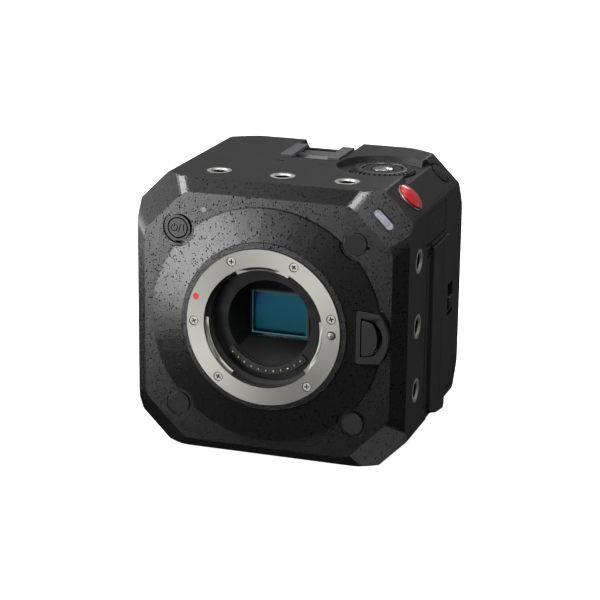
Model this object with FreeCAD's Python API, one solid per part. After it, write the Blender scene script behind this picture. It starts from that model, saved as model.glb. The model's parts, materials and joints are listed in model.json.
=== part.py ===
import FreeCAD, Part
import math
import os

# Box video camera: a cube of die-cast covers round a frame that carries the lens mount, the image
# sensor, the boards and the cooling, with a control dial on top, a card door on the right and the
# battery plate and sockets at the back.
# Millimetres. +Z is up, the lens looks along -Y, and +X is on the right seen from the front.
# The origin is the mouth of the middle tripod socket in the bottom face.
# A depth is a distance behind the front plane, and a local Z points out of the face it is said for.

V = FreeCAD.Vector

# Overall sizes
body_width = 93.0
body_height = 93.0
body_depth = 78.0
wall = 1.6
side_chamfer = 9.6
mitre_radius = 7.0
edge_radius = 1.4
half_width = body_width / 2.0
half_height = body_height / 2.0

# Front end: the flat bevels and the deeper corner bevels
front_inset = 4.25
front_leg = 14.0
front_flat_run = 4.5
front_corner_run = 8.2

# Rear end
rear_inset = 5.5
rear_leg = 16.0
rear_flat_run = 6.0
rear_corner_run = 11.5

# Clearances
seam_gap = 0.12
fit_gap = 0.1
cover_gap = 0.25
slide_gap = 0.25
running_gap = 0.06
stop_gap = 0.05

# Lens mount
mount_height = half_height
flange_rise = 3.06
mount_outer_radius = 26.2
throat_radius = 20.4
mount_thickness = 2.6
tab_radius = 19.05
tab_setback = 1.2
tab_thickness = 1.2
tab_spans = ((65.0, 53.5), (176.0, 61.0), (-44.0, 55.0))
mount_screw_circle = 23.8
mount_screw_angles = (13.0, 64.0, 117.0, 180.0, 230.0, 310.0)
mount_screw_head_radius = 1.5
mount_screw_shank_radius = 0.9
mount_screw_length = 5.0
index_mark_radius = 1.1
index_mark_angle = 160.0
index_mark_circle = 24.5
trim_outer_radius = 28.3
trim_rise = 2.4
trim_step = 0.35
trim_edge = 0.15
plate_radius = 39.4
plate_rim_rise = 0.9
plate_edge = 0.15
plate_notch = 0.7
base_bore_radius = 20.9

# Throat, contacts and sensor
baffle_rim_radius = 20.7
baffle_rim_depth = 0.6
baffle_plate_depth = 3.6
baffle_plate_thickness = 0.9
baffle_hole_radius = 14.3
tunnel_wall = 0.9
tunnel_margin = 1.0
contact_circle = 16.2
contact_count = 11
contact_first_angle = 222.0
contact_pitch = 9.2
contact_radius = 0.45
contact_rise = 0.9
contact_tip = 0.25
contact_block_width = 2.6
contact_block_height = 0.8
sensor_window_width = 19.2
sensor_window_height = 14.4
sensor_window_depth = 14.0
sensor_window_thickness = 0.7
sensor_plane_depth = 16.19
sensor_chip_thickness = 0.6
sensor_package_width = 27.0
sensor_package_height = 21.0
sensor_package_front = 14.9
sensor_board_depth = 18.0
sensor_board_thickness = 1.2
sensor_board_width = 42.0
sensor_board_height = 36.0
sensor_post_radius = 2.0
sensor_post_x = 18.2
sensor_post_z = 15.0

# Lens release
release_pin_circle = 23.3
release_pin_radius = 1.2
release_pin_rise = 1.0
release_travel = 1.2
surround_left = 31.2
surround_corner = 39.0
surround_bulge = 42.1
surround_half_left = 9.0
surround_half_right = 8.25
surround_rise = 2.1
release_left = 33.2
release_corner = 36.8
release_bulge = 38.6
release_half_left = 6.2
release_half_right = 5.2
release_rise = 2.7
pocket_gap = 0.4
pocket_bulge = 40.0
shank_width = 2.6
shank_height = 7.0
link_depth = 6.2
link_thickness = 1.0
link_height = 6.0
release_spring_length = 5.8
release_spring_radius = 2.4
release_spring_wire = 0.5
bracket_thickness = 1.0
bracket_half_width = 3.5
release_stop_radius = 1.2

# Pressed buttons: the snap flange under the skin, and the switch on a board below it
snap_reach = 0.8
snap_length = 0.9
switch_half = 2.4
switch_shoulder = 0.3
plunger_radius = 1.1
button_pocket = 0.8

# Front buttons, lamps and screw caps
power_x = 16.1 - half_width
power_z = body_height - 16.5
power_radius = 4.3
power_groove_radius = 5.3
power_travel = 0.3
power_pocket = 0.7
power_rise = 0.2
power_skirt = 0.3
power_line_radius = 3.5
power_line_width = 0.35
power_line_depth = 0.15
power_board_half = 3.4
power_lamp_x = power_x + 8.9
power_lamp_z = power_z + 6.8
power_lamp_radius = 0.9
cap_inset = 16.4
cap_spots = ((half_width - cap_inset, body_height - cap_inset), (cap_inset - half_width, cap_inset),
             (half_width - cap_inset, cap_inset))
cap_radius = 3.6
cap_groove_radius = 4.7
cap_groove_depth = 0.35
cap_rise = 0.3
cap_thickness = 0.45
cap_screw_head_radius = 2.4
cap_screw_head_height = 0.7
cap_screw_radius = 1.2
cap_screw_length = 6.5
tally_length = 8.0
tally_width = 2.6
tally_frame = 0.45
tally_sink = 0.3

# Threaded sockets, 1/4 inch with 20 turns to the inch
socket_hole_radius = 2.55
socket_insert_radius = 4.1
socket_depth = 6.5
socket_mouth = 0.5
boss_wall = 1.5
top_socket_x = (-22.0, 0.0, 22.0)
top_socket_depth = 15.7
side_socket_step = 21.94
side_socket_depth = 16.4
bottom_socket_depths = (17.0, 39.0)

# Screws in the bottom and rear covers
screw_sink = 1.0
screw_lid_gap = 0.1
bottom_screw_head_radius = 1.9
bottom_screw_radius = 1.0
bottom_screw_length = 6.0
bottom_screw_inset = 6.0
bottom_screw_depths = (13.0, 60.0)

# Control dial and cursor pad, in a round recess on top
dial_x = half_width - 20.3
dial_depth = 42.0
recess_radius = 15.5
recess_slope = 0.8
recess_sink = 2.2
dial_radius = 10.9
dial_bore_radius = 7.9
dial_rise = 1.3
dial_pocket_sink = 0.6
dial_ridge_count = 36
dial_ridge_gap = 0.8
dial_ridge_depth = 0.6
hub_inner_radius = 6.95
hub_lip = 0.35
hub_lip_height = 0.6
hub_skirt = 2.6
hub_flange = 1.6
hub_floor_thickness = 0.8
dial_board_drop = 4.4
dial_board_margin = 1.8
rocker_rim = 1.0
rocker_thickness = 0.7
rocker_gap = 0.45
pivot_radius = 0.4
pivot_half_length = 0.6
rocker_pivot_reach = 4.4
pad_pivot_reach = 4.9
pad_edge = 0.4
pad_radius = 6.7
pad_bore_radius = 3.78
set_button_radius = 3.5
set_button_travel = 0.4
set_button_dome = 0.6
set_button_lift = 2.9
set_clip_drop = 1.6
set_clip_reach = 0.7
board_leg_radius = 1.2
board_boss_radius = 0.9

# Accessory shoe, to the common 18.6 mm foot
shoe_front_depth = 43.8
shoe_rear_depth = 61.5
shoe_apron_drop = 1.2
shoe_slot_half_width = 9.35
shoe_slot_height = 2.1
shoe_lip_gap_half = 6.2
shoe_lip_thickness = 1.2
shoe_lip_rise = 0.8
shoe_side_wall = 1.05
shoe_base = 0.8

shoe_stop = 1.2
shoe_pad_half_width = 5.0
shoe_pad_start = 5.0
shoe_pad_length = 9.0
shoe_pad_rise = 0.2
shoe_contact_radius = 0.8
shoe_contact_rise = 0.15
shoe_contact_spots = ((0.0, 4.5), (-3.2, 1.8), (3.2, 1.8), (-3.2, 7.2), (3.2, 7.2))

# Two short marks cut in the top
top_mark_x = (-8.2, 7.0)
top_mark_depth = 37.0
top_mark_half = 1.4
top_mark_width = 0.8
top_mark_sink = 0.6

# Buttons on the upper right chamfer
record_depth = 20.6
record_radius = 4.7
record_ring_radius = 5.2
record_ring_rise = 0.3
record_ring_edge = 0.2
record_rise = 0.9
record_dome = 1.3
record_travel = 0.4
function_depth = 58.6
function_radius = 3.6
function_groove_radius = 4.35
function_rise = 0.1
function_dome = 0.3
function_travel = 0.4
button_board_depth = 4.4
button_board_thickness = 0.8
button_board_width = 7.6
button_board_length = 10.4

# Right side: card door, its hinge, catch and the small covers
groove_front = 26.2
groove_rear = 31.2
groove_low = 12.0
groove_high = body_height - 23.5
groove_sink = 3.2
groove_slot_count = 7
groove_slot_length = 5.0
groove_slot_half = 1.2
groove_slot_margin = 4.0
door_front = 31.6
door_rear = 51.5
door_top = groove_high - 0.2
door_proud = 1.0
door_thickness = 2.0
door_low_front = 12.6
door_low_middle = 8.6
door_low_rear = 7.3
door_corner = 1.4
door_edge = 0.35
door_arm = 1.0
door_line_inset = 7.2
door_line_width = 0.3
door_line_sink = 0.5
door_open_angle = 100.0
hinge_inset = 1.5
hinge_pin_radius = 0.7
hinge_barrel_radius = 1.55
hinge_block = 2.6
card_window_front = 35.0
card_window_rear = 48.5
card_window_low = 20.0
card_window_high = groove_high - 5.5
catch_front = 55.2
catch_rear = 61.8
catch_low = half_height - 7.7
catch_high = half_height + 3.7
catch_knob_low = catch_low + 2.2
catch_knob_height = 4.4
catch_sink = 2.2
catch_knob_rise = 0.5
catch_ridge_pitch = 1.0
catch_ridge = 0.4
port_front = 25.6
port_rear = 49.4
port_low = body_height - 21.8
port_high = body_height - 11.6
port_thickness = 1.1
jack_front = 56.0
jack_rear = 67.6
jack_low = 12.2
jack_high = 20.8
jack_corner = 4.5
ledge_low = groove_high + 0.5
ledge_height = 0.8
ledge_rise = 0.7
edge_notch_low = half_height - 2.5
edge_notch_high = half_height + 23.5
edge_notch_front = 70.2
edge_notch_sink = 1.0
plug_hole_radius = 1.8
plug_socket_radius = 2.8
plug_socket_reach = 9.0
plug_socket_pitch = 7.5

# Boards, cooling and card reader
main_board_depth = body_depth - 13.6
board_thickness = 1.6
main_board_half_width = half_width - 10.0
main_board_half_height = half_height - 9.5
post_x = half_width - 23.0
post_z = half_height - 13.0
post_radius = 3.0
frame_wall = 1.5
frame_reach = 23.0
sink_base = 2.0
sink_half_width = 30.0
sink_half_height = 20.0
sink_fin_reach = 18.0
sink_fin_count = 9
sink_fin = 1.0
fan_size = 40.0
fan_thickness = 8.0
fan_depth = 46.0
fan_bore_radius = 18.6
fan_hub_radius = 7.5
fan_blade_count = 9
fan_blade_half = 0.4
fan_blade_turn = 32.0
fan_corner_radius = 2.0
fan_spider = 1.0
fan_strut_half = 0.9
fan_shaft_radius = 1.2
fan_lid_gap = 1.0
vent_count = 8
vent_width = 2.0
vent_pitch = 4.2
vent_height = 28.0
reader_thickness = 9.0
reader_slot_height = 24.6
reader_slot_width = 2.6

# Back: battery plate and sockets
battery_width = 44.0
battery_low = 17.0
battery_high = body_height - 17.0
battery_plate_rise = 1.6
battery_pocket = 1.0
battery_hook_count = 2
battery_field_inset = 4.0
battery_field_rise = 0.2
battery_hook_pitch = 24.0
battery_hook_length = 8.0
battery_hook_start = 18.0
battery_hook_rise = 1.4
battery_lip_width = 2.8
terminal_width = 20.0
terminal_start = 6.0
terminal_height = 14.0
terminal_count = 5
terminal_pitch = 3.4
terminal_half = 0.4
latch_width = 12.0
latch_height = 6.5
latch_inset = 2.5
latch_travel = 1.2
bnc_x = 13.5 - half_width
bnc_pitch = 18.5
bnc_radius = 4.8
bnc_reach = 8.5
socket_column_x = half_width - 13.5
bnc_bore_radius = 3.6
bnc_floor = 1.0
bnc_neck = 0.6
bnc_edge = 0.4
bnc_flange_radius = 6.4
bnc_flange_thickness = 0.8
bnc_pin_radius = 0.6
bnc_pin_sink = 3.0
bnc_lug_reach = 1.0
bnc_lug_half = 0.9
bnc_lug_setback = 3.5
socket_pin_radius = 0.6
socket_floor = 10.0
power_jack_wall = 1.1
power_jack_radius = 4.0
power_jack_height = half_height - 20.5

front_y = -body_depth / 2.0
rear_y = body_depth / 2.0
corner_sum = half_width + half_height - side_chamfer


def at(depth):
    return front_y + depth


def box(x0, x1, depth0, depth1, z0, z1):
    return Part.makeBox(x1 - x0, depth1 - depth0, z1 - z0, V(x0, at(depth0), z0))


def block(x0, x1, y0, y1, z0, z1):
    return Part.makeBox(x1 - x0, y1 - y0, z1 - z0, V(x0, y0, z0))


def rod(radius, low, high, x=0.0, y=0.0):
    return Part.makeCylinder(radius, high - low, V(x, y, low))


def tube(outer, inner, low, high, x=0.0, y=0.0):
    return rod(outer, low, high, x, y).cut(rod(inner, low, high, x, y))


def sector(outer, inner, low, high, start, sweep):
    solid = Part.makeCylinder(outer, high - low, V(0, 0, low), V(0, 0, 1), sweep)
    solid = solid.cut(rod(inner, low, high))
    return turned(solid, V(0, 0, 1), start)


def turned(shape, axis, angle, centre=V(0, 0, 0)):
    copy = shape.copy()
    copy.rotate(centre, axis, angle)
    return copy


def moved(shape, x, y, z):
    copy = shape.copy()
    copy.translate(V(x, y, z))
    return copy


def outline_block(points, low, high):
    wire = Part.makePolygon([V(x, y, low) for x, y in points + points[:1]])
    return Part.Face(wire).extrude(V(0, 0, high - low))


def rounded(solid, radius):
    upright = [edge for edge in solid.Edges if is_upright(edge)]
    return solid.makeFillet(radius, upright)


def is_upright(edge):
    first = edge.Vertexes[0].Point
    last = edge.Vertexes[-1].Point
    return abs(first.x - last.x) < 1e-6 and abs(first.y - last.y) < 1e-6 and abs(first.z - last.z) > 1e-6


def revolved(points):
    wire = Part.makePolygon([V(r, 0, z) for r, z in points + points[:1]])
    return Part.Face(wire).revolve(V(0, 0, 0), V(0, 0, 1), 360)


def domed(radius, low, shoulder, dome):
    start = V(radius, 0, shoulder)
    crown = V(0, 0, shoulder + dome)
    ball = (radius * radius + dome * dome) / (2.0 * dome)
    half = math.asin(radius / ball) / 2.0
    between = V(ball * math.sin(half), 0, shoulder + dome - ball + ball * math.cos(half))
    cap = Part.Arc(start, between, crown).toShape()
    corners = [crown, V(0, 0, low), V(radius, 0, low), start]
    side = [Part.LineSegment(a, b).toShape() for a, b in zip(corners, corners[1:])]
    face = Part.Face(Part.Wire([cap] + side))
    return face.revolve(V(0, 0, 0), V(0, 0, 1), 360)


def facing_front(shape, x=0.0, z=0.0):
    return moved(turned(shape, V(1, 0, 0), 90), x, front_y, z)


def facing_rear(shape, x=0.0, z=0.0):
    return moved(turned(shape, V(1, 0, 0), -90), x, rear_y, z)


def facing_right(shape, depth, z):
    return moved(turned(shape, V(0, 1, 0), 90), half_width, at(depth), z)


def facing_left(shape, depth, z):
    return moved(turned(shape, V(0, 1, 0), -90), -half_width, at(depth), z)


def facing_up(shape, x, depth):
    return moved(shape, x, at(depth), body_height)


def facing_down(shape, x, depth):
    return moved(turned(shape, V(1, 0, 0), 180), x, at(depth), 0)


def on_right_chamfer(shape, depth):
    tilted = turned(shape, V(0, 1, 0), 45)
    return moved(tilted, half_width - side_chamfer / 2.0, at(depth), body_height - side_chamfer / 2.0)


def on_corner_bevel(shape):
    slope = (corner_sum - front_corner_start()) / front_corner_run
    normal = V(1, -slope, 1).normalize()
    along = V(1, 0, -1).normalize()
    across = normal.cross(along)
    depth = 0.43 * front_corner_run
    reach = (front_corner_start() + slope * depth) / 2.0
    spot = V(reach, at(depth), body_height / 2.0 + reach)
    copy = shape.copy()
    copy.Placement = FreeCAD.Placement(spot, FreeCAD.Rotation(along, across, normal, "ZXY"))
    return copy


def front_corner_start():
    return half_width + half_height - 2.0 * front_inset - front_leg


def fused(shapes):
    whole = shapes[0]
    if len(shapes) > 1:
        whole = shapes[0].multiFuse(list(shapes[1:]))
    return whole.removeSplitter()


def group(shapes):
    return Part.makeCompound(list(shapes))


def all_cut(shape, tools):
    for tool in tools:
        shape = shape.cut(tool)
    return shape


# The body's outer form, as a function of how far it is moved in from the outside

front_end = (front_inset, front_leg, front_flat_run, front_corner_run)
rear_end = (rear_inset, rear_leg, rear_flat_run, rear_corner_run)


def eight_sided(half_w, half_h, leg, y):
    corners = [(half_w, half_h - leg), (half_w - leg, half_h)]
    corners += [(-x, z) for x, z in reversed(corners)]
    corners += [(-x, -z) for x, z in corners]
    corners.append(corners[0])
    return Part.makePolygon([V(x, y, body_height / 2.0 + z) for x, z in corners])


def end_block(end, inset, from_y, inwards, mitre):
    end_inset, leg, flat_run, corner_run = end
    flat_slope = end_inset / flat_run
    start_sum = half_width + half_height - 2.0 * end_inset - leg
    corner_slope = (corner_sum - start_sum) / corner_run
    wires = []
    for run in (inset, body_depth):
        shrink = flat_slope * run - inset * math.sqrt(1.0 + flat_slope ** 2)
        wide = half_width - end_inset + shrink
        high = half_height - end_inset + shrink
        total = start_sum + corner_slope * run - inset * math.sqrt(2.0 + corner_slope ** 2)
        wires.append(eight_sided(wide, high, wide + high - total, from_y + inwards * run))
    solid = Part.makeLoft(wires, True, True)
    if not mitre:
        return solid
    mitres = [edge for edge in solid.Edges if abs(edge.Vertexes[0].Y - edge.Vertexes[-1].Y) > 1.0]
    return solid.makeFillet(mitre, mitres)


def body_form(inset, mitre=0.0):
    leg = side_chamfer - inset * (2.0 - math.sqrt(2.0))
    outline = eight_sided(half_width - inset, half_height - inset, leg, front_y + inset)
    prism = Part.Face(outline).extrude(V(0, body_depth - 2.0 * inset, 0))
    if mitre:
        prism = prism.makeFillet(edge_radius, [edge for edge in prism.Edges if edge.BoundBox.YLength > 1.0])
    prism = prism.common(end_block(front_end, inset, front_y, 1.0, mitre))
    return prism.common(end_block(rear_end, inset, rear_y, -1.0, mitre))


def end_zone(end, gap, mirrored):
    end_inset, leg, flat_run, corner_run = end
    start_sum = half_width + half_height - 2.0 * end_inset - leg
    corner_slope = (corner_sum - start_sum) / corner_run
    zones = []
    for half, other in ((half_width, half_height), (half_height, half_width)):
        straight = start_sum + corner_slope * flat_run - other
        far = half + 2.0
        edge = [(far, -2.0), (far, corner_run + gap), (half - side_chamfer, corner_run + gap),
                (straight, flat_run + gap)]
        edge += [(-across, run) for across, run in reversed(edge)]
        zones.append(outline_block(edge, -far - 2.0, far + 2.0))
    zone = zones[0].common(turned(zones[1], V(0, 1, 0), 90))
    if mirrored:
        zone = turned(zone, V(0, 0, 1), 180)
        return moved(zone, 0, rear_y, body_height / 2.0)
    return moved(zone, 0, front_y, body_height / 2.0)


outer_form = body_form(0.0, mitre_radius)
inner_form = body_form(wall)
skin = outer_form.cut(inner_form)
front_zone = end_zone(front_end, 0.0, False)
rear_zone = end_zone(rear_end, 0.0, True)
middle_skin = skin.cut(end_zone(front_end, seam_gap, False)).cut(end_zone(rear_end, seam_gap, True))
top_seam = body_height - side_chamfer + 0.6
bottom_seam = side_chamfer - 0.6


# Sockets and what they need round them

def socket_spots():
    spots = [("up", x, top_socket_depth) for x in top_socket_x]
    spots += [("down", 0.0, depth) for depth in bottom_socket_depths]
    for side in ("right", "left"):
        for step in (-1, 0, 1):
            spots.append((side, side_socket_depth, body_height / 2.0 + step * side_socket_step))
    return spots


facing = {"up": facing_up, "down": facing_down, "right": facing_right, "left": facing_left}


def at_sockets(shape, sides):
    return [facing[side](shape, a, b) for side, a, b in socket_spots() if side in sides]


def with_socket_bosses(shell, side):
    boss = rod(socket_insert_radius + boss_wall, -socket_depth, -wall / 2.0)
    hole = rod(socket_insert_radius, -socket_depth, 1.0)
    return all_cut(fused([shell] + at_sockets(boss, side)), at_sockets(hole, side))


def socket_inserts():
    insert = rod(socket_insert_radius, -socket_depth, 0).cut(rod(socket_hole_radius, -socket_depth, 0))
    mouth = Part.makeCone(socket_hole_radius, socket_hole_radius + socket_mouth, socket_mouth,
                          V(0, 0, -socket_mouth))
    open_insert = insert.cut(mouth)
    solids = at_sockets(open_insert, ("up", "right", "left"))
    return group(solids + at_sockets(insert, ("down",)))


# Front cover, with the raised round plate, and the pieces set in it

def release_outline(grow, low, high, left, corner, bulge, half_left, half_right):
    points = [V(left - grow, -half_left - grow, low), V(left - grow, half_left + grow, low),
              V(corner, half_right + grow, low)]
    edges = [Part.LineSegment(a, b).toShape() for a, b in zip(points, points[1:])]
    low_corner = V(corner, -half_right - grow, low)
    edges.append(Part.Arc(points[2], V(bulge + grow, 0, low), low_corner).toShape())
    edges.append(Part.LineSegment(low_corner, points[0]).toShape())
    return Part.Face(Part.Wire(edges)).extrude(V(0, 0, high - low))


def surround_block(grow, low, high):
    return release_outline(grow, low, high, surround_left, surround_corner, surround_bulge,
                           surround_half_left, surround_half_right)


def button_block(grow, low, high):
    return release_outline(grow, low, high, release_left, release_corner, release_bulge,
                           release_half_left, release_half_right)


def pocket_block(low, high):
    return release_outline(0, low, high, release_left - pocket_gap, release_corner + pocket_gap, pocket_bulge,
                           release_half_left + pocket_gap, release_half_right + pocket_gap)


def shank_block(grow, low, high):
    middle = (release_left + release_corner) / 2.0
    half_w = shank_width / 2.0 + grow
    half_h = shank_height / 2.0 + grow
    return block(middle - half_w, middle + half_w, -half_h, half_h, low, high)


def tally_pill(length, width, low, high):
    straight = length - width
    ends = [rod(width / 2.0, low, high, side * straight / 2.0) for side in (-1, 1)]
    middle = block(-straight / 2.0, straight / 2.0, -width / 2.0, width / 2.0, low, high)
    return fused([middle] + ends)


def plate_crown():
    return trim_rise - trim_step


def raised_plate():
    profile = [(0, 0), (plate_radius, 0), (plate_radius - plate_edge, plate_rim_rise),
               (trim_outer_radius + fit_gap, plate_crown()), (mount_outer_radius, plate_crown()),
               (mount_outer_radius, plate_seat()), (0, plate_seat())]
    plate = facing_front(revolved(profile), 0, mount_height)
    notch = rod(cap_groove_radius + plate_notch, -0.1, trim_rise)
    plate = all_cut(plate, [facing_front(notch, x, z) for x, z in cap_spots])
    wide_notch = rod(power_groove_radius + plate_notch, -0.1, trim_rise)
    return plate.cut(facing_front(wide_notch, power_x, power_z))


def plate_seat():
    return plate_rim_rise / 2.0


def front_cover():
    shell = outer_form.common(front_zone).cut(inner_form)
    shell = shell.fuse(raised_plate())
    tools = [facing_front(rod(mount_outer_radius + fit_gap, -wall - 1, trim_rise), 0, mount_height)]
    tools.append(facing_front(trim_seat(), 0, mount_height))
    tools.append(facing_front(surround_block(fit_gap, 0, trim_rise), 0, mount_height))
    tools.append(facing_front(button_block(slide_gap, -wall - 1, 1), 0, mount_height))
    for x, z in cap_spots:
        tools.append(facing_front(rod(cap_groove_radius, -cap_groove_depth, 1), x, z))
        tools.append(facing_front(rod(cap_radius + stop_gap, -cap_sink(), 1), x, z))
        tools.append(facing_front(rod(cap_screw_radius, -wall - 1, 1), x, z))
    tools.append(facing_front(rod(power_groove_radius, -power_pocket, 1), power_x, power_z))
    tools.append(facing_front(rod(power_shank_radius() + slide_gap, -wall - 1, 1), power_x, power_z))
    tools.append(facing_front(rod(power_lamp_radius, -wall - 1, 1), power_lamp_x, power_lamp_z))
    frame = tally_pill(tally_length + 2 * tally_frame, tally_width + 2 * tally_frame, -0.5, 2)
    tools.append(on_corner_bevel(frame))
    tools.append(on_corner_bevel(tally_pill(tally_length, tally_width, -wall - 1.5, 1)))
    return all_cut(shell, tools)


def cap_sink():
    return cap_thickness - cap_rise + stop_gap + cap_screw_head_height


def front_screw_caps():
    cap = rod(cap_radius, cap_rise - cap_thickness, cap_rise)
    cap = cap.makeChamfer(0.15, [edge for edge in cap.Edges if edge.BoundBox.ZMin > cap_rise - 1e-6])
    return group([facing_front(cap, x, z) for x, z in cap_spots])


def front_cover_screws():
    head_top = cap_rise - cap_thickness - stop_gap
    head = rod(cap_screw_head_radius, head_top - cap_screw_head_height, head_top)
    shank = rod(cap_screw_radius, head_top - cap_screw_head_height - cap_screw_length, head_top)
    return [facing_front(fused([head, shank]), x, z) for x, z in cap_spots]


def cover_screws():
    return group(front_cover_screws() + bottom_screws() + rear_screws())


def power_shank_radius():
    return power_radius - 1.8


def power_button():
    disc = rod(power_radius, -power_skirt, power_rise)
    shank = rod(power_shank_radius(), -wall - snap_length, 0)
    flange = rod(power_shank_radius() + snap_reach, -wall - snap_length, -wall - stop_gap)
    ring = tube(power_line_radius, power_line_radius - power_line_width, power_rise - power_line_depth,
                power_rise + 1)
    return facing_front(fused([disc, shank, flange]).cut(ring), power_x, power_z)


def power_switch():
    seat = frame_back()
    base = block(-switch_half, switch_half, -switch_half, switch_half, seat, seat + switch_shoulder)
    plunger = rod(plunger_radius, seat, -wall - snap_length - power_travel - stop_gap)
    board = block(-power_board_half, power_board_half, -power_board_half, power_board_half,
                  seat - button_board_thickness, seat)
    return facing_front(fused([base, plunger, board]), power_x, power_z)


def frame_back():
    return -wall - fit_gap - frame_wall


def power_lamp():
    lamp = rod(power_lamp_radius, -wall - fit_gap, -0.02)
    return facing_front(lamp, power_lamp_x, power_lamp_z)


def tally_lamp():
    return on_corner_bevel(tally_pill(tally_length - 0.1, tally_width - 0.1, -wall - 0.6, -tally_sink + 0.25))


# Lens mount

def at_circle(shape, circle, angle):
    turn = math.radians(angle)
    return moved(shape, circle * math.cos(turn), circle * math.sin(turn), 0)


def bayonet_mount():
    back = flange_rise - mount_thickness
    ring = tube(mount_outer_radius, throat_radius, back, flange_rise)
    tab_front = flange_rise - tab_setback
    tabs = [sector(throat_radius + 0.2, tab_radius, tab_front - tab_thickness, tab_front, start, sweep)
            for start, sweep in tab_spans]
    ring = fused([ring] + tabs)
    sunk_head = rod(mount_screw_head_radius + fit_gap, flange_rise - 0.9, flange_rise + 1)
    shank = rod(mount_screw_shank_radius, back - 1, flange_rise)
    for angle in mount_screw_angles:
        ring = ring.cut(at_circle(sunk_head, mount_screw_circle, angle))
        ring = ring.cut(at_circle(shank, mount_screw_circle, angle))
    ring = ring.cut(at_circle(rod(index_mark_radius, flange_rise - 0.5, flange_rise + 1),
                              index_mark_circle, index_mark_angle))
    pin_hole = rod(release_pin_radius + slide_gap, back - 1, flange_rise + 1)
    ring = ring.cut(at_circle(pin_hole, release_pin_circle, 0.0))
    return facing_front(ring, 0, mount_height)


def mount_screws():
    head = rod(mount_screw_head_radius, flange_rise - 0.9, flange_rise - 0.05)
    shank = rod(mount_screw_shank_radius, flange_rise - mount_screw_length, flange_rise - 0.5)
    screws = [at_circle(fused([head, shank]), mount_screw_circle, angle) for angle in mount_screw_angles]
    return group([facing_front(one, 0, mount_height) for one in screws])


def mount_index_mark():
    mark = rod(index_mark_radius, flange_rise - 0.5, flange_rise + 0.02)
    return facing_front(at_circle(mark, index_mark_circle, index_mark_angle), 0, mount_height)


def mount_trim_ring():
    inner = mount_outer_radius + fit_gap
    ring = revolved([(inner, plate_seat()), (trim_outer_radius, plate_seat()),
                     (trim_outer_radius, trim_rise - trim_edge), (trim_outer_radius - trim_edge, trim_rise),
                     (inner, trim_rise)])
    return facing_front(ring, 0, mount_height)


def trim_seat():
    return rod(trim_outer_radius + fit_gap, plate_seat(), trim_rise + 1)


def lens_release_surround():
    ring = rounded(surround_block(0, 0, surround_rise), 1.0)
    ring = ring.cut(pocket_block(-1, surround_rise + 1))
    return facing_front(ring, 0, mount_height)


def lens_release_button():
    cap = rounded(button_block(0, 0.15, release_rise), 0.8)
    shank = shank_block(0, -link_depth, 0.3)
    return facing_front(fused([cap, shank]), 0, mount_height)


def release_link():
    right = (release_left + release_corner) / 2.0 + shank_width / 2.0
    plate = block(release_pin_circle - 2.2, right, -link_height / 2.0, link_height / 2.0,
                  -link_depth - link_thickness, -link_depth)
    return facing_front(plate, 0, mount_height)


def lens_lock_pin():
    pin = domed(release_pin_radius, -link_depth, flange_rise + release_pin_rise - 0.3, 0.3)
    return facing_front(at_circle(pin, release_pin_circle, 0.0), 0, mount_height)


def spring_x():
    return release_pin_circle + 5.5


def release_spring():
    top = -link_depth - link_thickness
    coil = tube(release_spring_radius, release_spring_radius - release_spring_wire,
                top - release_spring_length, top)
    return facing_front(moved(coil, spring_x(), 0, 0), 0, mount_height)


def release_bracket():
    seat = -link_depth - link_thickness - release_spring_length
    half = link_height / 2.0 + slide_gap
    x0 = spring_x() - bracket_half_width
    x1 = spring_x() + bracket_half_width
    base = block(x0, x1, -half - bracket_thickness, half + bracket_thickness, seat - bracket_thickness, seat)
    legs = [block(x0, x1, half, half + bracket_thickness, seat, frame_back() + 0.1),
            block(x0, x1, -half - bracket_thickness, -half, seat, frame_back() + 0.1)]
    return facing_front(fused([base] + legs), 0, mount_height)


# Throat and sensor

def light_baffle():
    rim = tube(baffle_rim_radius, baffle_rim_radius - 1.2, -baffle_plate_depth, -baffle_rim_depth)
    back = -baffle_plate_depth - baffle_plate_thickness
    plate = rod(baffle_rim_radius, back, -baffle_plate_depth).cut(rod(baffle_hole_radius, back - 1, 1))
    tunnel = tunnel_block(tunnel_wall, back).cut(tunnel_block(0.0, back))
    return facing_front(fused([rim, plate, tunnel]), 0, mount_height)


def tunnel_block(grow, back):
    mouth = 2.0 * (baffle_hole_radius + tunnel_margin / 2.0 + grow)
    far_width = sensor_window_width + 2.0 * (tunnel_margin + grow)
    far_height = sensor_window_height + 2.0 * (tunnel_margin + grow)
    far = tunnel_wire(far_width, far_height, tunnel_margin - sensor_window_depth)
    return Part.makeLoft([tunnel_wire(mouth, mouth, back), far], True, True)


def tunnel_wire(width, height, z):
    half_w = width / 2.0
    half_h = height / 2.0
    corners = [(half_w, half_h), (-half_w, half_h), (-half_w, -half_h), (half_w, -half_h), (half_w, half_h)]
    return Part.makePolygon([V(x, y, z) for x, y in corners])


def contact_angles():
    return [contact_first_angle + index * contact_pitch for index in range(contact_count)]


def lens_contact_block():
    span = contact_pitch * (contact_count - 1) + 12.0
    floor = -baffle_plate_depth
    strip = sector(contact_circle + contact_block_width / 2.0, contact_circle - contact_block_width / 2.0,
                   floor, floor + contact_block_height, contact_first_angle - 6.0, span)
    return facing_front(strip, 0, mount_height)


def lens_contact_pins():
    seat = -baffle_plate_depth + contact_block_height
    neck = seat + contact_rise - contact_tip
    tip = Part.makeCone(contact_radius, contact_radius / 2.0, contact_tip, V(0, 0, neck))
    pin = fused([rod(contact_radius, seat, neck), tip])
    pins = [at_circle(pin, contact_circle, angle) for angle in contact_angles()]
    return group([facing_front(one, 0, mount_height) for one in pins])


def centred(width, height, front, back):
    return block(-width / 2.0, width / 2.0, -height / 2.0, height / 2.0, -back, -front)


def sensor_window():
    pane = centred(sensor_window_width, sensor_window_height, sensor_window_depth,
                   sensor_window_depth + sensor_window_thickness)
    return facing_front(pane, 0, mount_height)


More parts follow.
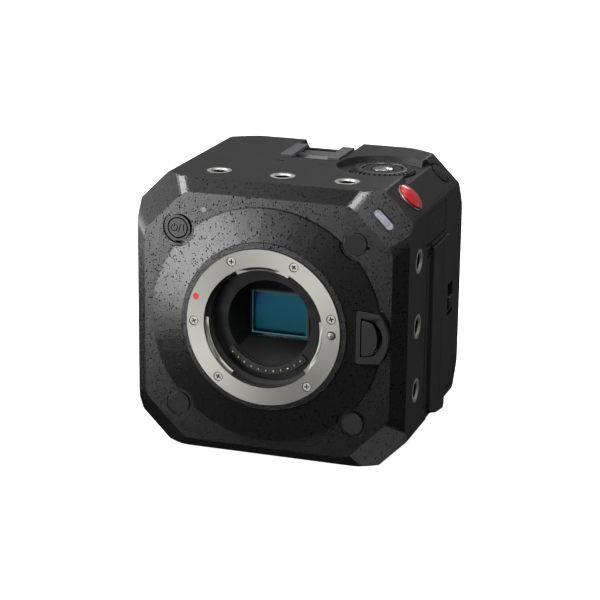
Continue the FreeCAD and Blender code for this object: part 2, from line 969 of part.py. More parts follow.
def sensor_package():
    back = sensor_board_depth
    shell = centred(sensor_package_width, sensor_package_height, sensor_package_front, back)
    chip_back = sensor_plane_depth + sensor_chip_thickness
    shell = shell.cut(centred(sensor_window_width, sensor_window_height, 0, chip_back))
    frame = centred(sensor_window_width + 2.4, sensor_window_height + 2.4, sensor_window_depth,
                    sensor_package_front)
    frame = frame.cut(centred(sensor_window_width, sensor_window_height, 0, sensor_package_front))
    return facing_front(fused([shell, frame]), 0, mount_height)


def image_sensor():
    chip = centred(sensor_window_width - 0.4, sensor_window_height - 0.4, sensor_plane_depth,
                   sensor_plane_depth + sensor_chip_thickness)
    return facing_front(chip, 0, mount_height)


def sensor_board():
    board = centred(sensor_board_width, sensor_board_height, sensor_board_depth,
                    sensor_board_depth + sensor_board_thickness)
    return facing_front(board, 0, mount_height)


def heat_sink():
    front = sensor_board_depth + sensor_board_thickness
    base = centred(sink_half_width * 2, sink_half_height * 2, front, front + sink_base)
    pitch = (2 * sink_half_height - sink_fin) / (sink_fin_count - 1)
    fins = []
    for index in range(sink_fin_count):
        low = -sink_half_height + index * pitch
        fins.append(block(-sink_half_width, sink_half_width, low, low + sink_fin,
                          -front - sink_base - sink_fin_reach, -front - sink_base))
    return facing_front(fused([base] + fins), 0, mount_height)


# Frame inside the covers

def post_spots():
    return [(sx * post_x, body_height / 2.0 + sz * post_z) for sx in (-1, 1) for sz in (-1, 1)]


def sensor_post_spots():
    return [(sx * sensor_post_x, mount_height + sz * sensor_post_z) for sx in (-1, 1) for sz in (-1, 1)]


def chassis_frame():
    outside = body_form(wall + fit_gap)
    cup = outside.cut(body_form(wall + fit_gap + frame_wall))
    cup = cup.common(box(-half_width, half_width, 0, frame_reach, 0, body_height))
    seat = rod(mount_outer_radius, -wall - fit_gap - 0.1, flange_rise - mount_thickness)
    pieces = [cup, facing_front(seat, 0, mount_height)]
    post = rod(post_radius, -main_board_depth, frame_back() + 0.1)
    pieces += [facing_front(post, x, z) for x, z in post_spots()]
    small_post = rod(sensor_post_radius, -sensor_board_depth, frame_back() + 0.1)
    pieces += [facing_front(small_post, x, z) for x, z in sensor_post_spots()]
    stop_x = (release_left + release_pin_circle) / 2.0
    stop = rod(release_stop_radius, -link_depth + stop_gap, frame_back() + 0.1, stop_x)
    pieces.append(facing_front(stop, 0, mount_height))
    pieces.append(release_bracket())
    frame = fused(pieces)
    tools = [facing_front(rod(base_bore_radius, frame_back() - 1, 3), 0, mount_height)]
    tools.append(facing_front(shank_block(slide_gap, frame_back() - 1, 1), 0, mount_height))
    pin_hole = rod(release_pin_radius + slide_gap, frame_back() - 1, 3)
    tools.append(facing_front(at_circle(pin_hole, release_pin_circle, 0.0), 0, mount_height))
    screw_hole = rod(mount_screw_shank_radius, flange_rise - mount_screw_length, 3)
    for angle in mount_screw_angles:
        tools.append(facing_front(at_circle(screw_hole, mount_screw_circle, angle), 0, mount_height))
    for x, z in cap_spots:
        tools.append(facing_front(rod(cap_screw_radius, -cap_sink() - cap_screw_length, 1), x, z))
    tools.append(facing_front(rod(power_shank_radius() + snap_reach + slide_gap, frame_back() - 1, 1),
                              power_x, power_z))
    clear = rod(socket_insert_radius + boss_wall + slide_gap, -socket_depth - 2, 1)
    tools += at_sockets(clear, ("up", "down", "right", "left"))
    tally_room = tally_pill(tally_length + 1, tally_width + 1, -wall - 6, 0)
    tools.append(on_corner_bevel(tally_room))
    tools.append(on_right_chamfer(block(-6.5, 6.5, -frame_reach, frame_reach, -wall - 5, 1), record_depth))
    bottom_hole = facing_down(rod(bottom_screw_radius, -bottom_screw_length - 1, 2), 0, 0)
    tools += [moved(bottom_hole, x, depth, 0) for x, depth in bottom_screw_spots()]
    rear_screw = rod(cap_screw_radius, -main_board_depth - 1, -main_board_depth + 8)
    tools += [facing_front(rear_screw, x, z) for x, z in post_spots()]
    return all_cut(frame, tools)


# Top cover and its controls

def shoe_floor():
    return shoe_lip_rise - shoe_lip_thickness - shoe_slot_height


def shoe_half_width():
    return shoe_slot_half_width + shoe_side_wall


def recess_floor():
    return -recess_sink


def pocket_floor():
    return -recess_sink - dial_pocket_sink


def top_cover():
    shell = middle_skin.common(box(-half_width - 1, half_width + 1, -5, body_depth + 5,
                                   top_seam + seam_gap, body_height + 5))
    shell = with_socket_bosses(shell, ("up",))
    cup = facing_up(rod(recess_radius + wall, pocket_floor() - wall, -wall / 2.0), dial_x, dial_depth)
    cup = cup.common(outer_form)
    bay_low = body_height + shoe_floor() - shoe_apron_drop - shoe_base - wall
    bay = box(-shoe_half_width() - wall, shoe_half_width() + wall, shoe_front_depth - wall,
              body_depth - rear_flat_run - seam_gap, bay_low, body_height - wall / 2.0)
    boards = [on_right_chamfer(rod(board_boss_radius, -button_board_depth, -wall / 2.0, 0, y), depth)
              for depth in (record_depth, function_depth) for y in board_boss_places()]
    leg = rod(board_leg_radius, dial_board_top(), pocket_floor() - wall / 2.0)
    leg_tops = [facing_up(moved(leg, x, y, 0), dial_x, dial_depth) for x, y in dial_leg_places()]
    shell = fused([shell, cup, bay] + boards + leg_tops)
    return all_cut(shell, top_cuts())


def board_boss_places():
    return (1.0 - button_board_length / 2.0, button_board_length / 2.0 - 1.0)


def dial_leg_places():
    reach = dial_radius + 0.4
    return [(reach * math.cos(math.radians(a)), reach * math.sin(math.radians(a))) for a in (90, 210, 330)]


def dial_board_top():
    return pocket_floor() - wall - dial_board_drop


def top_cuts():
    floor_radius = recess_radius - recess_slope
    recess = revolved([(0, recess_floor()), (floor_radius, recess_floor()), (recess_radius, 0),
                       (recess_radius, 5), (0, 5)])
    out = block(0, 30, -recess_radius, recess_radius, recess_floor(), 5)
    reach = half_width - side_chamfer - dial_x
    lane = out.common(rod(recess_radius + 8, recess_floor(), 5))
    lane = lane.cut(rod(floor_radius, recess_floor() - 1, 6))
    tools = [facing_up(recess, dial_x, dial_depth)]
    if reach < recess_radius:
        tools.append(facing_up(lane.common(block(reach, 30, -recess_radius, recess_radius, -9, 9)),
                               dial_x, dial_depth))
    tools.append(facing_up(rod(dial_radius + slide_gap, pocket_floor(), 5), dial_x, dial_depth))
    tools.append(facing_up(rod(hub_outer_radius(), -20, 5), dial_x, dial_depth))
    shoe_low = body_height + shoe_floor() - shoe_base
    tools.append(box(-shoe_half_width() - fit_gap, shoe_half_width() + fit_gap, shoe_front_depth - fit_gap,
                     body_depth, shoe_low, body_height + 5))
    tools.append(box(-shoe_half_width() - fit_gap, shoe_half_width() + fit_gap, shoe_rear_depth,
                     body_depth, shoe_low - shoe_apron_drop, body_height + 5))
    for x in top_mark_x:
        tools.append(box(x - top_mark_half, x + top_mark_half, top_mark_depth - top_mark_width / 2.0,
                         top_mark_depth + top_mark_width / 2.0, body_height - top_mark_sink, body_height + 1))
    tools.append(on_right_chamfer(rod(record_ring_radius + stop_gap, -button_pocket, 3), record_depth))
    tools.append(on_right_chamfer(rod(record_shank_radius() + slide_gap, -wall - 1, 3), record_depth))
    tools.append(on_right_chamfer(rod(function_groove_radius, -button_pocket, 3), function_depth))
    tools.append(on_right_chamfer(rod(function_shank_radius() + slide_gap, -wall - 1, 3), function_depth))
    return tools


def hub_outer_radius():
    return dial_bore_radius - running_gap


def dial_top():
    return recess_floor() + dial_rise


def control_dial():
    low = pocket_floor() + fit_gap
    top = dial_top()
    lip_room = hub_outer_radius() + hub_lip + fit_gap
    ring = revolved([(dial_bore_radius, low), (dial_radius, low), (dial_radius, top - 0.7),
                     (dial_radius - 0.5, top - 0.15), (dial_radius - 1.6, top), (lip_room + 0.25, top),
                     (lip_room, top - 0.3), (lip_room, top - 0.9), (dial_bore_radius, top - 0.9)])
    notch = block(lip_room + 0.9, dial_radius + 1, -dial_ridge_gap / 2.0, dial_ridge_gap / 2.0,
                  top - dial_ridge_depth, top + 1)
    step = 360.0 / dial_ridge_count
    notches = [turned(notch, V(0, 0, 1), index * step) for index in range(dial_ridge_count)]
    return facing_up(ring.cut(group(notches)), dial_x, dial_depth)


def dial_hub():
    outer = hub_outer_radius()
    low = pocket_floor() - wall - hub_skirt
    flange = pocket_floor() - wall
    lip_high = dial_top() - 0.2
    lip_low = lip_high - hub_lip_height
    points = [(hub_inner_radius, low), (outer + hub_flange, low), (outer + hub_flange, flange),
              (outer, flange), (outer, lip_low), (outer + hub_lip, lip_low), (outer + hub_lip, lip_high),
              (outer, dial_top()), (hub_inner_radius, dial_top())]
    wall_ring = revolved(points)
    floor = rod(hub_inner_radius + 0.1, low, low + hub_floor_thickness)
    hub = fused([wall_ring, floor]).cut(rod(set_shank_radius() + slide_gap, low - 1, low + 2))
    return facing_up(hub, dial_x, dial_depth)


def hub_floor_top():
    return pocket_floor() - wall - hub_skirt + hub_floor_thickness


def set_shank_radius():
    return set_button_radius - 2.0


def rocker_low():
    return hub_floor_top() + rocker_gap


def pad_rocker():
    ring = tube(pad_radius - rocker_rim, set_shank_radius() + rocker_rim, rocker_low(),
                rocker_low() + rocker_thickness)
    nubs = [turned(nub, V(0, 1, 0), 90) for nub in pivot_nubs(rocker_pivot_reach)]
    nubs = [moved(nub, 0, 0, rocker_low()) for nub in nubs]
    return facing_up(fused([ring] + nubs), dial_x, dial_depth)


def pivot_nubs(reach):
    return [rod(pivot_radius, side * reach - pivot_half_length, side * reach + pivot_half_length)
            for side in (-1, 1)]


def pad_low():
    return rocker_low() + rocker_thickness + rocker_gap


def cursor_pad():
    top = dial_top() - 0.1
    points = [(pad_bore_radius, pad_low()), (pad_radius, pad_low()), (pad_radius, top - pad_edge),
              (pad_radius - pad_edge, top), (pad_bore_radius + pad_edge, top),
              (pad_bore_radius, top - pad_edge)]
    ring = revolved(points)
    nubs = [turned(nub, V(1, 0, 0), 90) for nub in pivot_nubs(pad_pivot_reach)]
    nubs = [moved(nub, 0, 0, pad_low()) for nub in nubs]
    return facing_up(fused([ring] + nubs), dial_x, dial_depth)


def set_button():
    low = hub_floor_top() + set_button_lift
    clip_low = hub_floor_top() - set_clip_drop
    disc = domed(set_button_radius, low, dial_top() - 0.1, set_button_dome)
    shank = rod(set_shank_radius(), clip_low, low + 0.1)
    clip = rod(set_shank_radius() + set_clip_reach, clip_low, hub_floor_top() - hub_floor_thickness - stop_gap)
    return facing_up(fused([disc, shank, clip]), dial_x, dial_depth)


def dial_board():
    top = dial_board_top()
    board = rod(dial_radius + dial_board_margin, top - button_board_thickness, top)
    plunger_top = hub_floor_top() - set_clip_drop - set_button_travel - stop_gap
    switch = block(-switch_half, switch_half, -switch_half, switch_half, top, plunger_top - switch_shoulder)
    plunger = rod(plunger_radius, top, plunger_top)
    return facing_up(fused([board, switch, plunger]), dial_x, dial_depth)


def button_boards():
    return group([power_switch(), dial_board()] + chamfer_button_boards())


def record_shank_radius():
    return record_radius - 2.3


def function_shank_radius():
    return function_radius - 1.8


def record_button_ring():
    inner = record_radius + slide_gap / 2.0
    ring = revolved([(inner, -button_pocket), (record_ring_radius, -button_pocket),
                     (record_ring_radius, record_ring_rise - record_ring_edge),
                     (record_ring_radius - record_ring_edge, record_ring_rise), (inner, record_ring_rise)])
    return on_right_chamfer(ring, record_depth)


def chamfer_button(radius, low, shoulder, dome, shank_radius):
    button = domed(radius, low, shoulder, dome)
    shank = rod(shank_radius, -wall - snap_length, low + 0.1)
    flange = rod(shank_radius + snap_reach, -wall - snap_length, -wall - stop_gap)
    return fused([button, shank, flange])


def record_button():
    low = -button_pocket + record_travel + stop_gap
    button = chamfer_button(record_radius, low, record_rise, record_dome, record_shank_radius())
    return on_right_chamfer(button, record_depth)


def function_button():
    low = -button_pocket + function_travel + stop_gap
    button = chamfer_button(function_radius, low, function_rise, function_dome, function_shank_radius())
    return on_right_chamfer(button, function_depth)


def chamfer_button_boards():
    boards = []
    for depth, travel in ((record_depth, record_travel), (function_depth, function_travel)):
        plunger_top = -wall - snap_length - travel - stop_gap
        board = block(-button_board_width / 2.0, button_board_width / 2.0, -button_board_length / 2.0,
                      button_board_length / 2.0, -button_board_depth - button_board_thickness,
                      -button_board_depth)
        switch = block(-switch_half, switch_half, -switch_half, switch_half, -button_board_depth,
                       plunger_top - switch_shoulder)
        plunger = rod(plunger_radius, -button_board_depth, plunger_top)
        boards.append(on_right_chamfer(fused([board, switch, plunger]), depth))
    return boards


def accessory_shoe():
    half = shoe_half_width()
    floor = shoe_floor()
    lip_low = shoe_lip_rise - shoe_lip_thickness
    profile = [(-half, floor - shoe_base), (half, floor - shoe_base), (half, shoe_lip_rise),
               (shoe_lip_gap_half, shoe_lip_rise), (shoe_lip_gap_half, lip_low),
               (shoe_slot_half_width, lip_low), (shoe_slot_half_width, floor), (-shoe_slot_half_width, floor),
               (-shoe_slot_half_width, lip_low), (-shoe_lip_gap_half, lip_low),
               (-shoe_lip_gap_half, shoe_lip_rise), (-half, shoe_lip_rise)]
    wire = Part.makePolygon([V(x, at(shoe_front_depth), body_height + z) for x, z in profile + profile[:1]])
    channel = Part.Face(wire).extrude(V(0, shoe_rear_depth - shoe_front_depth, 0))
    stop = box(-shoe_slot_half_width - 0.1, shoe_slot_half_width + 0.1, shoe_front_depth,
               shoe_front_depth + shoe_stop, body_height + floor - 0.1, body_height + lip_low + 0.1)
    apron_top = body_height + floor - shoe_apron_drop
    apron = box(-half, half, shoe_rear_depth, body_depth - rear_flat_run, apron_top - shoe_base, apron_top)
    step = box(-half, half, shoe_rear_depth, shoe_rear_depth + shoe_base, apron_top - shoe_base,
               body_height + floor)
    return fused([channel, stop, apron, step])


def shoe_contacts():
    floor = body_height + shoe_floor()
    start = shoe_front_depth + shoe_pad_start
    top = floor + shoe_pad_rise
    pad = box(-shoe_pad_half_width, shoe_pad_half_width, start, start + shoe_pad_length, floor, top)
    discs = [rod(shoe_contact_radius, top, top + shoe_contact_rise, x, at(start + depth))
             for x, depth in shoe_contact_spots]
    return fused([pad] + discs)


# Sides, bottom and the pieces of the right side

def side_skin(side):
    low = bottom_seam + seam_gap
    if side > 0:
        region = box(0, half_width + 1, -5, body_depth + 5, low, top_seam)
    else:
        region = box(-half_width - 1, 0, -5, body_depth + 5, low, top_seam)
    return middle_skin.common(region)


def hinge_x():
    return half_width - hinge_inset


def hinge_depth():
    return (groove_front + groove_rear) / 2.0


def door_pocket_floor():
    return half_width + door_proud - door_thickness - slide_gap


def right_side_cover():
    shell = with_socket_bosses(side_skin(1), ("right",))
    back = half_width - groove_sink - wall
    trough = box(back, half_width - wall / 2.0, groove_front - wall, groove_rear + wall,
                 groove_low - wall, groove_high + wall)
    pocket_back = box(door_pocket_floor() - wall, half_width - wall / 2.0, groove_rear, door_rear + wall,
                      bottom_seam + 2.0, door_top + slide_gap + wall)
    catch_back = box(half_width - catch_sink - wall - 0.4, half_width - wall / 2.0, catch_front - wall,
                     catch_rear + wall, catch_low - wall, catch_high + wall)
    ledge = box(half_width - wall / 2.0, half_width + ledge_rise, groove_rear - 0.2, door_rear - 2.5,
                ledge_low, ledge_low + ledge_height)
    port_back = box(half_width - 3.0, half_width - wall / 2.0, port_front - 1.0, port_rear + 1.0,
                    port_low - 0.8, port_high + 1.0)
    shell = fused([shell, trough, pocket_back, catch_back, ledge, port_back])
    shell = all_cut(shell, right_side_cuts())
    return fused([shell] + hinge_blocks())


def right_side_cuts():
    tools = [box(half_width - groove_sink, half_width + 2, groove_front, groove_rear + 0.1,
                 groove_low, groove_high)]
    tools.append(box(door_pocket_floor(), half_width + 5, groove_rear, door_rear + slide_gap,
                     bottom_seam - 3.0, door_top + slide_gap))
    tools.append(box(0, half_width + 2, card_window_front, card_window_rear, card_window_low,
                     card_window_high))
    tools.append(box(half_width - catch_sink, half_width + 2, catch_front, catch_rear, catch_low, catch_high))
    tools.append(port_block(cover_gap, -port_thickness - fit_gap, 2))
    hole = rod(plug_socket_radius + fit_gap, -plug_socket_reach - 1, 0)
    tools += [facing_right(hole, depth, z) for depth, z in plug_socket_spots()]
    tools.append(jack_block(cover_gap, -port_thickness - fit_gap, 2))
    tools.append(box(half_width - edge_notch_sink, half_width + 2, edge_notch_front, body_depth,
                     edge_notch_low, edge_notch_high))
    vent = box(half_width - groove_sink - wall - 1, half_width, hinge_depth() - groove_slot_half,
               hinge_depth() + groove_slot_half, 0, groove_slot_length)
    pitch = (groove_high - groove_low - 2.0 * groove_slot_margin - groove_slot_length) / (groove_slot_count - 1)
    for index in range(groove_slot_count):
        tools.append(moved(vent, 0, 0, groove_low + groove_slot_margin + index * pitch))
    return tools


def hinge_blocks():
    blocks = []
    for low, high in ((groove_low, groove_low + hinge_block), (groove_high - hinge_block, groove_high)):
        solid = box(half_width - groove_sink - 0.1, half_width - 0.2, groove_front - 0.1, groove_rear,
                    low, high)
        hole = rod(hinge_pin_radius, low - 1, high + 1, hinge_x(), at(hinge_depth()))
        blocks.append(solid.cut(hole))
    return blocks


def door_hinge_pin():
    return rod(hinge_pin_radius, groove_low, groove_high, hinge_x(), at(hinge_depth()))


def door_outline():
    mid = (door_front + door_rear) / 2.0
    return [(door_front, door_low_front), (door_front + door_corner, door_low_front - door_corner),
            (mid, door_low_middle), (door_rear - door_corner, door_low_rear),
            (door_rear, door_low_rear + door_corner), (door_rear, door_top), (door_front, door_top)]


def card_door():
    inside = half_width + door_proud - door_thickness
    corners = [V(inside, at(depth), z) for depth, z in door_outline()]
    plate = Part.Face(Part.makePolygon(corners + corners[:1])).extrude(V(door_thickness, 0, 0))
    edge = [e for e in plate.Edges if e.BoundBox.XMin > inside + door_thickness - 1e-6]
    plate = plate.makeChamfer(door_edge, edge)
    low = groove_low + hinge_block + slide_gap
    high = groove_high - hinge_block - slide_gap
    barrel = rod(hinge_barrel_radius, low, high, hinge_x(), at(hinge_depth()))
    arm = box(inside, inside + door_arm, hinge_depth(), door_front + 0.5, low, high)
    bore = rod(hinge_pin_radius + running_gap, low - 1, high + 1, hinge_x(), at(hinge_depth()))
    start = door_rear - door_line_inset
    line = box(inside + door_thickness - door_line_sink, half_width + 5, start, start + door_line_width,
               door_low_rear + 6.0, door_top - 2.0)
    return all_cut(fused([plate, barrel, arm]), [bore, line])


def door_catch():
    top = half_width + catch_knob_rise
    body = box(half_width - catch_sink + 0.2, half_width - 0.3, catch_front + slide_gap, catch_rear - slide_gap,
               catch_knob_low - 1.2, catch_knob_low + catch_knob_height + 0.3)
    knob = box(half_width - 0.5, top, catch_front + slide_gap + 0.4, catch_rear - slide_gap - 0.4,
               catch_knob_low, catch_knob_low + catch_knob_height)
    knob = knob.makeChamfer(0.3, [e for e in knob.Edges if e.BoundBox.XMin > top - 1e-6])
    lows = [catch_knob_low + step * catch_ridge_pitch for step in (1, 2, 3)]
    ridges = [box(top - 0.3, top + 1, catch_front, catch_rear, low, low + catch_ridge) for low in lows]
    return fused([body, all_cut(knob, ridges)])


def port_block(grow, low, high):
    return box(half_width + low, half_width + high, port_front - grow, port_rear + grow, port_low - grow,
               port_high + grow)


def port_cover():
    plate = port_block(0, -port_thickness, 0)
    edges = [e for e in plate.Edges if is_upright(e) and e.BoundBox.YMax < at(port_front) + 1e-6]
    return plate.makeFillet(flap_hinge_radius(), edges)


def flap_hinge_radius():
    return port_thickness / 2.0 - 0.001


def jack_block(grow, low, high):
    start = V(half_width + low, at(jack_front - grow), jack_high + grow - jack_corner)
    end = V(half_width + low, at(jack_front - grow + jack_corner), jack_high + grow)
    lean = jack_corner * (1.0 - math.sqrt(0.5))
    between = V(half_width + low, at(jack_front - grow + lean), jack_high + grow - lean)
    corners = [end, V(end.x, at(jack_rear + grow), jack_high + grow),
               V(end.x, at(jack_rear + grow), jack_low - grow),
               V(end.x, at(jack_front - grow), jack_low - grow), start]
    edges = [Part.LineSegment(a, b).toShape() for a, b in zip(corners, corners[1:])]
    edges.append(Part.Arc(start, between, end).toShape())
    return Part.Face(Part.Wire(edges)).extrude(V(high - low, 0, 0))


def jack_cover():
    plate = jack_block(0, -port_thickness, 0)
    low = [e for e in plate.Edges if e.BoundBox.ZMax < jack_low + 1e-6 and e.BoundBox.YLength > 1.0]
    return plate.makeFillet(flap_hinge_radius(), low)


def plug_socket_spots():
    middle = (port_front + port_rear) / 2.0
    height = (port_low + port_high) / 2.0
    spots = [(middle + step * plug_socket_pitch, height) for step in (-1, 0, 1)]
    return spots + [((jack_front + jack_rear) / 2.0 + 0.4, (jack_low + jack_high) / 2.0)]


def plug_sockets():
    front = -port_thickness - fit_gap
    socket = tube(plug_socket_radius, plug_hole_radius, -plug_socket_reach, front)
    back = rod(plug_socket_radius, -plug_socket_reach - 0.8, -plug_socket_reach + 0.1)
    socket = fused([socket, back])
    return group([facing_right(socket, depth, z) for depth, z in plug_socket_spots()])


def left_side_cover():
    shell = with_socket_bosses(side_skin(-1), ("left",))
    tools = []
    for index in range(vent_count):
        depth = fan_depth + (index - (vent_count - 1) / 2.0) * vent_pitch
        tools.append(box(-half_width - 1, 0, depth - vent_width / 2.0, depth + vent_width / 2.0,
                         body_height / 2.0 - vent_height / 2.0, body_height / 2.0 + vent_height / 2.0))
    return all_cut(shell, tools)


def bottom_cover():
    shell = middle_skin.common(box(-half_width - 1, half_width + 1, -5, body_depth + 5, -5, bottom_seam))
    shell = with_socket_bosses(shell, ("down",))
    door_room = box(door_pocket_floor(), half_width + 5, groove_rear, door_rear + slide_gap, 0, body_height)
    head = facing_down(rod(bottom_screw_head_radius + fit_gap, -screw_sink, 2), 0, 0)
    tools = [moved(head, x, depth, 0) for x, depth in bottom_screw_spots()]
    hole = facing_down(rod(bottom_screw_radius, -wall - 1, 2), 0, 0)
    tools += [moved(hole, x, depth, 0) for x, depth in bottom_screw_spots()]
    return all_cut(shell, tools + [door_room])


def bottom_screw_spots():
    x = half_width - side_chamfer - bottom_screw_inset
    return [(side * x, depth) for side in (-1, 1) for depth in bottom_screw_depths]


def bottom_screws():
    head = rod(bottom_screw_head_radius, -screw_sink, -screw_lid_gap)
    shank = rod(bottom_screw_radius, -bottom_screw_length, -screw_sink / 2.0)
    screw = facing_down(fused([head, shank]), 0, 0)
    return [moved(screw, x, depth, 0) for x, depth in bottom_screw_spots()]


# Rear cover, battery plate and sockets

def rear_cover():
    shell = outer_form.common(rear_zone).cut(inner_form)
    boss = rod(post_radius, -(body_depth - main_board_depth - board_thickness), -wall / 2.0)
    shell = fused([shell] + [facing_rear(boss, x, z) for x, z in post_spots()])
    tools = []
    for x, z in post_spots():
        tools.append(facing_rear(rod(cap_screw_head_radius + fit_gap, -screw_sink, 1), x, z))
        tools.append(facing_rear(rod(cap_screw_radius, -30, 1), x, z))
    tools.append(rear_box(battery_width + 2 * fit_gap, battery_low - fit_gap, battery_high + fit_gap,
                          -battery_pocket, 2))
    tools.append(terminal_block(terminal_width, 0.0, -wall - 1, 2))
    for z in bnc_heights():
        tools.append(facing_rear(rod(bnc_radius + slide_gap, -wall - 1, 1), bnc_x, z))
    for width, height, z in socket_rows():
        tools.append(socket_hole(width, height, z))
    jack_hole = rod(power_jack_radius + fit_gap, -wall - 1, 1)
    tools.append(facing_rear(jack_hole, socket_column_x, power_jack_height))
    tools.append(box(-shoe_half_width() - fit_gap, shoe_half_width() + fit_gap, 0, body_depth + 5,
                     body_height + shoe_floor() - shoe_apron_drop, body_height + 5))
    return all_cut(shell, tools)


def rear_box(width, low, high, near, far):
    solid = block(-width / 2.0, width / 2.0, -high, -low, near, far)
    return moved(turned(solid, V(1, 0, 0), -90), 0, rear_y, 0)


def socket_rows():
    return [(16.0, 13.6, half_height + 15.5), (15.0, 6.0, half_height), (9.2, 3.4, half_height - 10.0)]


def socket_hole(width, height, z):
    solid = block(-width / 2.0, width / 2.0, -height / 2.0, height / 2.0, -wall - 1, 2)
    return facing_rear(solid, socket_column_x, z)


def rear_screws():
    length = body_depth - main_board_depth + 5.0
    head = rod(cap_screw_head_radius, -screw_sink, -screw_lid_gap)
    shank = rod(cap_screw_radius, -length, -screw_sink / 2.0)
    return [facing_rear(fused([head, shank]), x, z) for x, z in post_spots()]


def main_board():
    board = centred(2 * main_board_half_width, 2 * main_board_half_height, main_board_depth,
                    main_board_depth + board_thickness)
    board = facing_front(board, 0, body_height / 2.0)
    hole = rod(cap_screw_radius, -main_board_depth - 3, -main_board_depth + 1)
    board = all_cut(board, [facing_front(hole, x, z) for x, z in post_spots()])
    chips = [(-14, 12, 18, 18, 1.6), (12, 14, 12, 12, 1.2), (10, -12, 14, 10, 1.2), (-16, -14, 10, 12, 1.0)]
    parts = []
    for x, z, width, height, rise in chips:
        chip = block(-width / 2.0, width / 2.0, -height / 2.0, height / 2.0, -main_board_depth,
                     -main_board_depth + rise)
        parts.append(facing_front(chip, x, body_height / 2.0 + z))
    return fused([board] + parts)


def board_back():
    return -(body_depth - main_board_depth - board_thickness)


def bnc_heights():
    return [half_height + step * bnc_pitch for step in (-1, 0, 1)]


def bnc_sockets():
    neck = bnc_radius - bnc_neck
    points = [(bnc_bore_radius, bnc_reach), (bnc_bore_radius, -bnc_floor), (0.0, -bnc_floor),
              (0.0, board_back()), (neck, board_back()), (neck, -wall), (bnc_radius, -wall),
              (bnc_radius, bnc_reach - bnc_edge), (bnc_radius - bnc_edge, bnc_reach)]
    shell = revolved(points)
    flange = tube(bnc_flange_radius, bnc_radius - 0.1, 0, bnc_flange_thickness)
    pin = rod(bnc_pin_radius, -bnc_floor - 0.1, bnc_reach - bnc_pin_sink)
    lug_height = bnc_reach - bnc_lug_setback
    lug = block(bnc_bore_radius + bnc_neck, bnc_radius + bnc_lug_reach, -bnc_lug_half, bnc_lug_half,
                lug_height - bnc_lug_half, lug_height + bnc_lug_half)
    one = fused([shell, flange, pin, lug, turned(lug, V(0, 0, 1), 180)])
    return group([facing_rear(one, bnc_x, z) for z in bnc_heights()])


def framed_socket(width, height, wall_thickness, tongue, z):
    outer = block(-width / 2.0 + 0.1, width / 2.0 - 0.1, -height / 2.0 + 0.1, height / 2.0 - 0.1,
                  board_back(), -0.1)
    inner = block(-width / 2.0 + wall_thickness, width / 2.0 - wall_thickness,
                  -height / 2.0 + wall_thickness, height / 2.0 - wall_thickness, -socket_floor, 1)
    solid = outer.cut(inner)
    if tongue:
        reach = width / 2.0 - 2.2
        plate = block(-reach, reach, -tongue / 2.0, tongue / 2.0, -socket_floor - 0.1, -2.0)
        solid = fused([solid, plate])
    return facing_rear(solid, socket_column_x, z)


def lan_socket():
    width, height, z = socket_rows()[0]
    socket = framed_socket(width, height, 2.0, 0, z)
    contact = block(-3.9, 3.9, -height / 2.0 + 1.5, -height / 2.0 + 2.4, -socket_floor - 0.1, -4.0)
    return fused([socket, facing_rear(contact, socket_column_x, z)])


def video_socket():
    width, height, z = socket_rows()[1]
    return framed_socket(width, height, 0.6, 1.0, z)


def data_socket():
    width, height, z = socket_rows()[2]
    return framed_socket(width, height, 0.4, 0.7, z)


def power_socket():
    body = tube(power_jack_radius, power_jack_radius - power_jack_wall, -socket_floor, -0.1)
    back = rod(power_jack_radius, board_back(), 0.1 - socket_floor)
    pin = rod(socket_pin_radius, -socket_floor, -2.0)
    return facing_rear(fused([body, back, pin]), socket_column_x, power_jack_height)


def battery_plate():
    plate = rear_box(battery_width, battery_low, battery_high, -battery_pocket, battery_plate_rise)
    plate = plate.cut(rear_box(battery_width - 2.0 * battery_field_inset, battery_low + 3.0,
                               battery_high - 12.0, battery_field_rise, battery_plate_rise + 1))
    plate = plate.cut(terminal_block(terminal_width, fit_gap, -battery_pocket - 1, 3))
    hooks = []
    for index in range(battery_hook_count):
        low = battery_low + battery_hook_start + index * battery_hook_pitch
        hooks += [battery_hook(side, low) for side in (-1, 1)]
    latch_room = latch_block(slide_gap, -battery_pocket - 1, battery_plate_rise + 1)
    return fused([plate] + hooks).cut(latch_room)


def battery_hook(side, low):
    outer = battery_width / 2.0 - battery_field_inset / 2.0
    rise = battery_plate_rise + battery_hook_rise
    post = rear_box(2.0, low, low + battery_hook_length, battery_plate_rise - 0.1, rise)
    lip = rear_box(battery_lip_width, low, low + battery_hook_length, rise - 0.1, rise + 0.9)
    post = moved(post, side * (outer - 1.0), 0, 0)
    return post.fuse(moved(lip, side * (outer - 1.0 - 2.2), 0, 0))


def terminal_block(width, grow, near, far):
    low = battery_low + terminal_start
    return rear_box(width + 2 * grow, low - grow, low + terminal_height + grow, near, far)


def latch_block(grow, near, far):
    high = battery_high - latch_inset
    return rear_box(latch_width + 2 * grow, high - latch_height - grow, high + grow, near, far)


def battery_terminals():
    carrier = terminal_block(terminal_width, 0.0, -6.0, -0.1)
    low = battery_low + terminal_start + 2.0
    blade = rear_box(2 * terminal_half, low, low + terminal_height - 4.0, -0.2, 2.2)
    middle = (terminal_count - 1) / 2.0
    blades = [moved(blade, (index - middle) * terminal_pitch, 0, 0) for index in range(terminal_count)]
    return fused([carrier] + blades)


def battery_release():
    high = battery_high - latch_inset
    low = high - latch_height + latch_travel
    body = rear_box(latch_width, low, high, -battery_pocket + 0.15, battery_plate_rise + 0.6)
    ridges = [rear_box(latch_width + 1.0, low + z, low + z + 0.4, battery_plate_rise + 0.2,
                       battery_plate_rise + 2) for z in (1.2, 2.2, 3.2)]
    return all_cut(body, ridges)


# Cooling fan and card reader

def fan_place(shape):
    return facing_left(shape, fan_depth, body_height / 2.0)


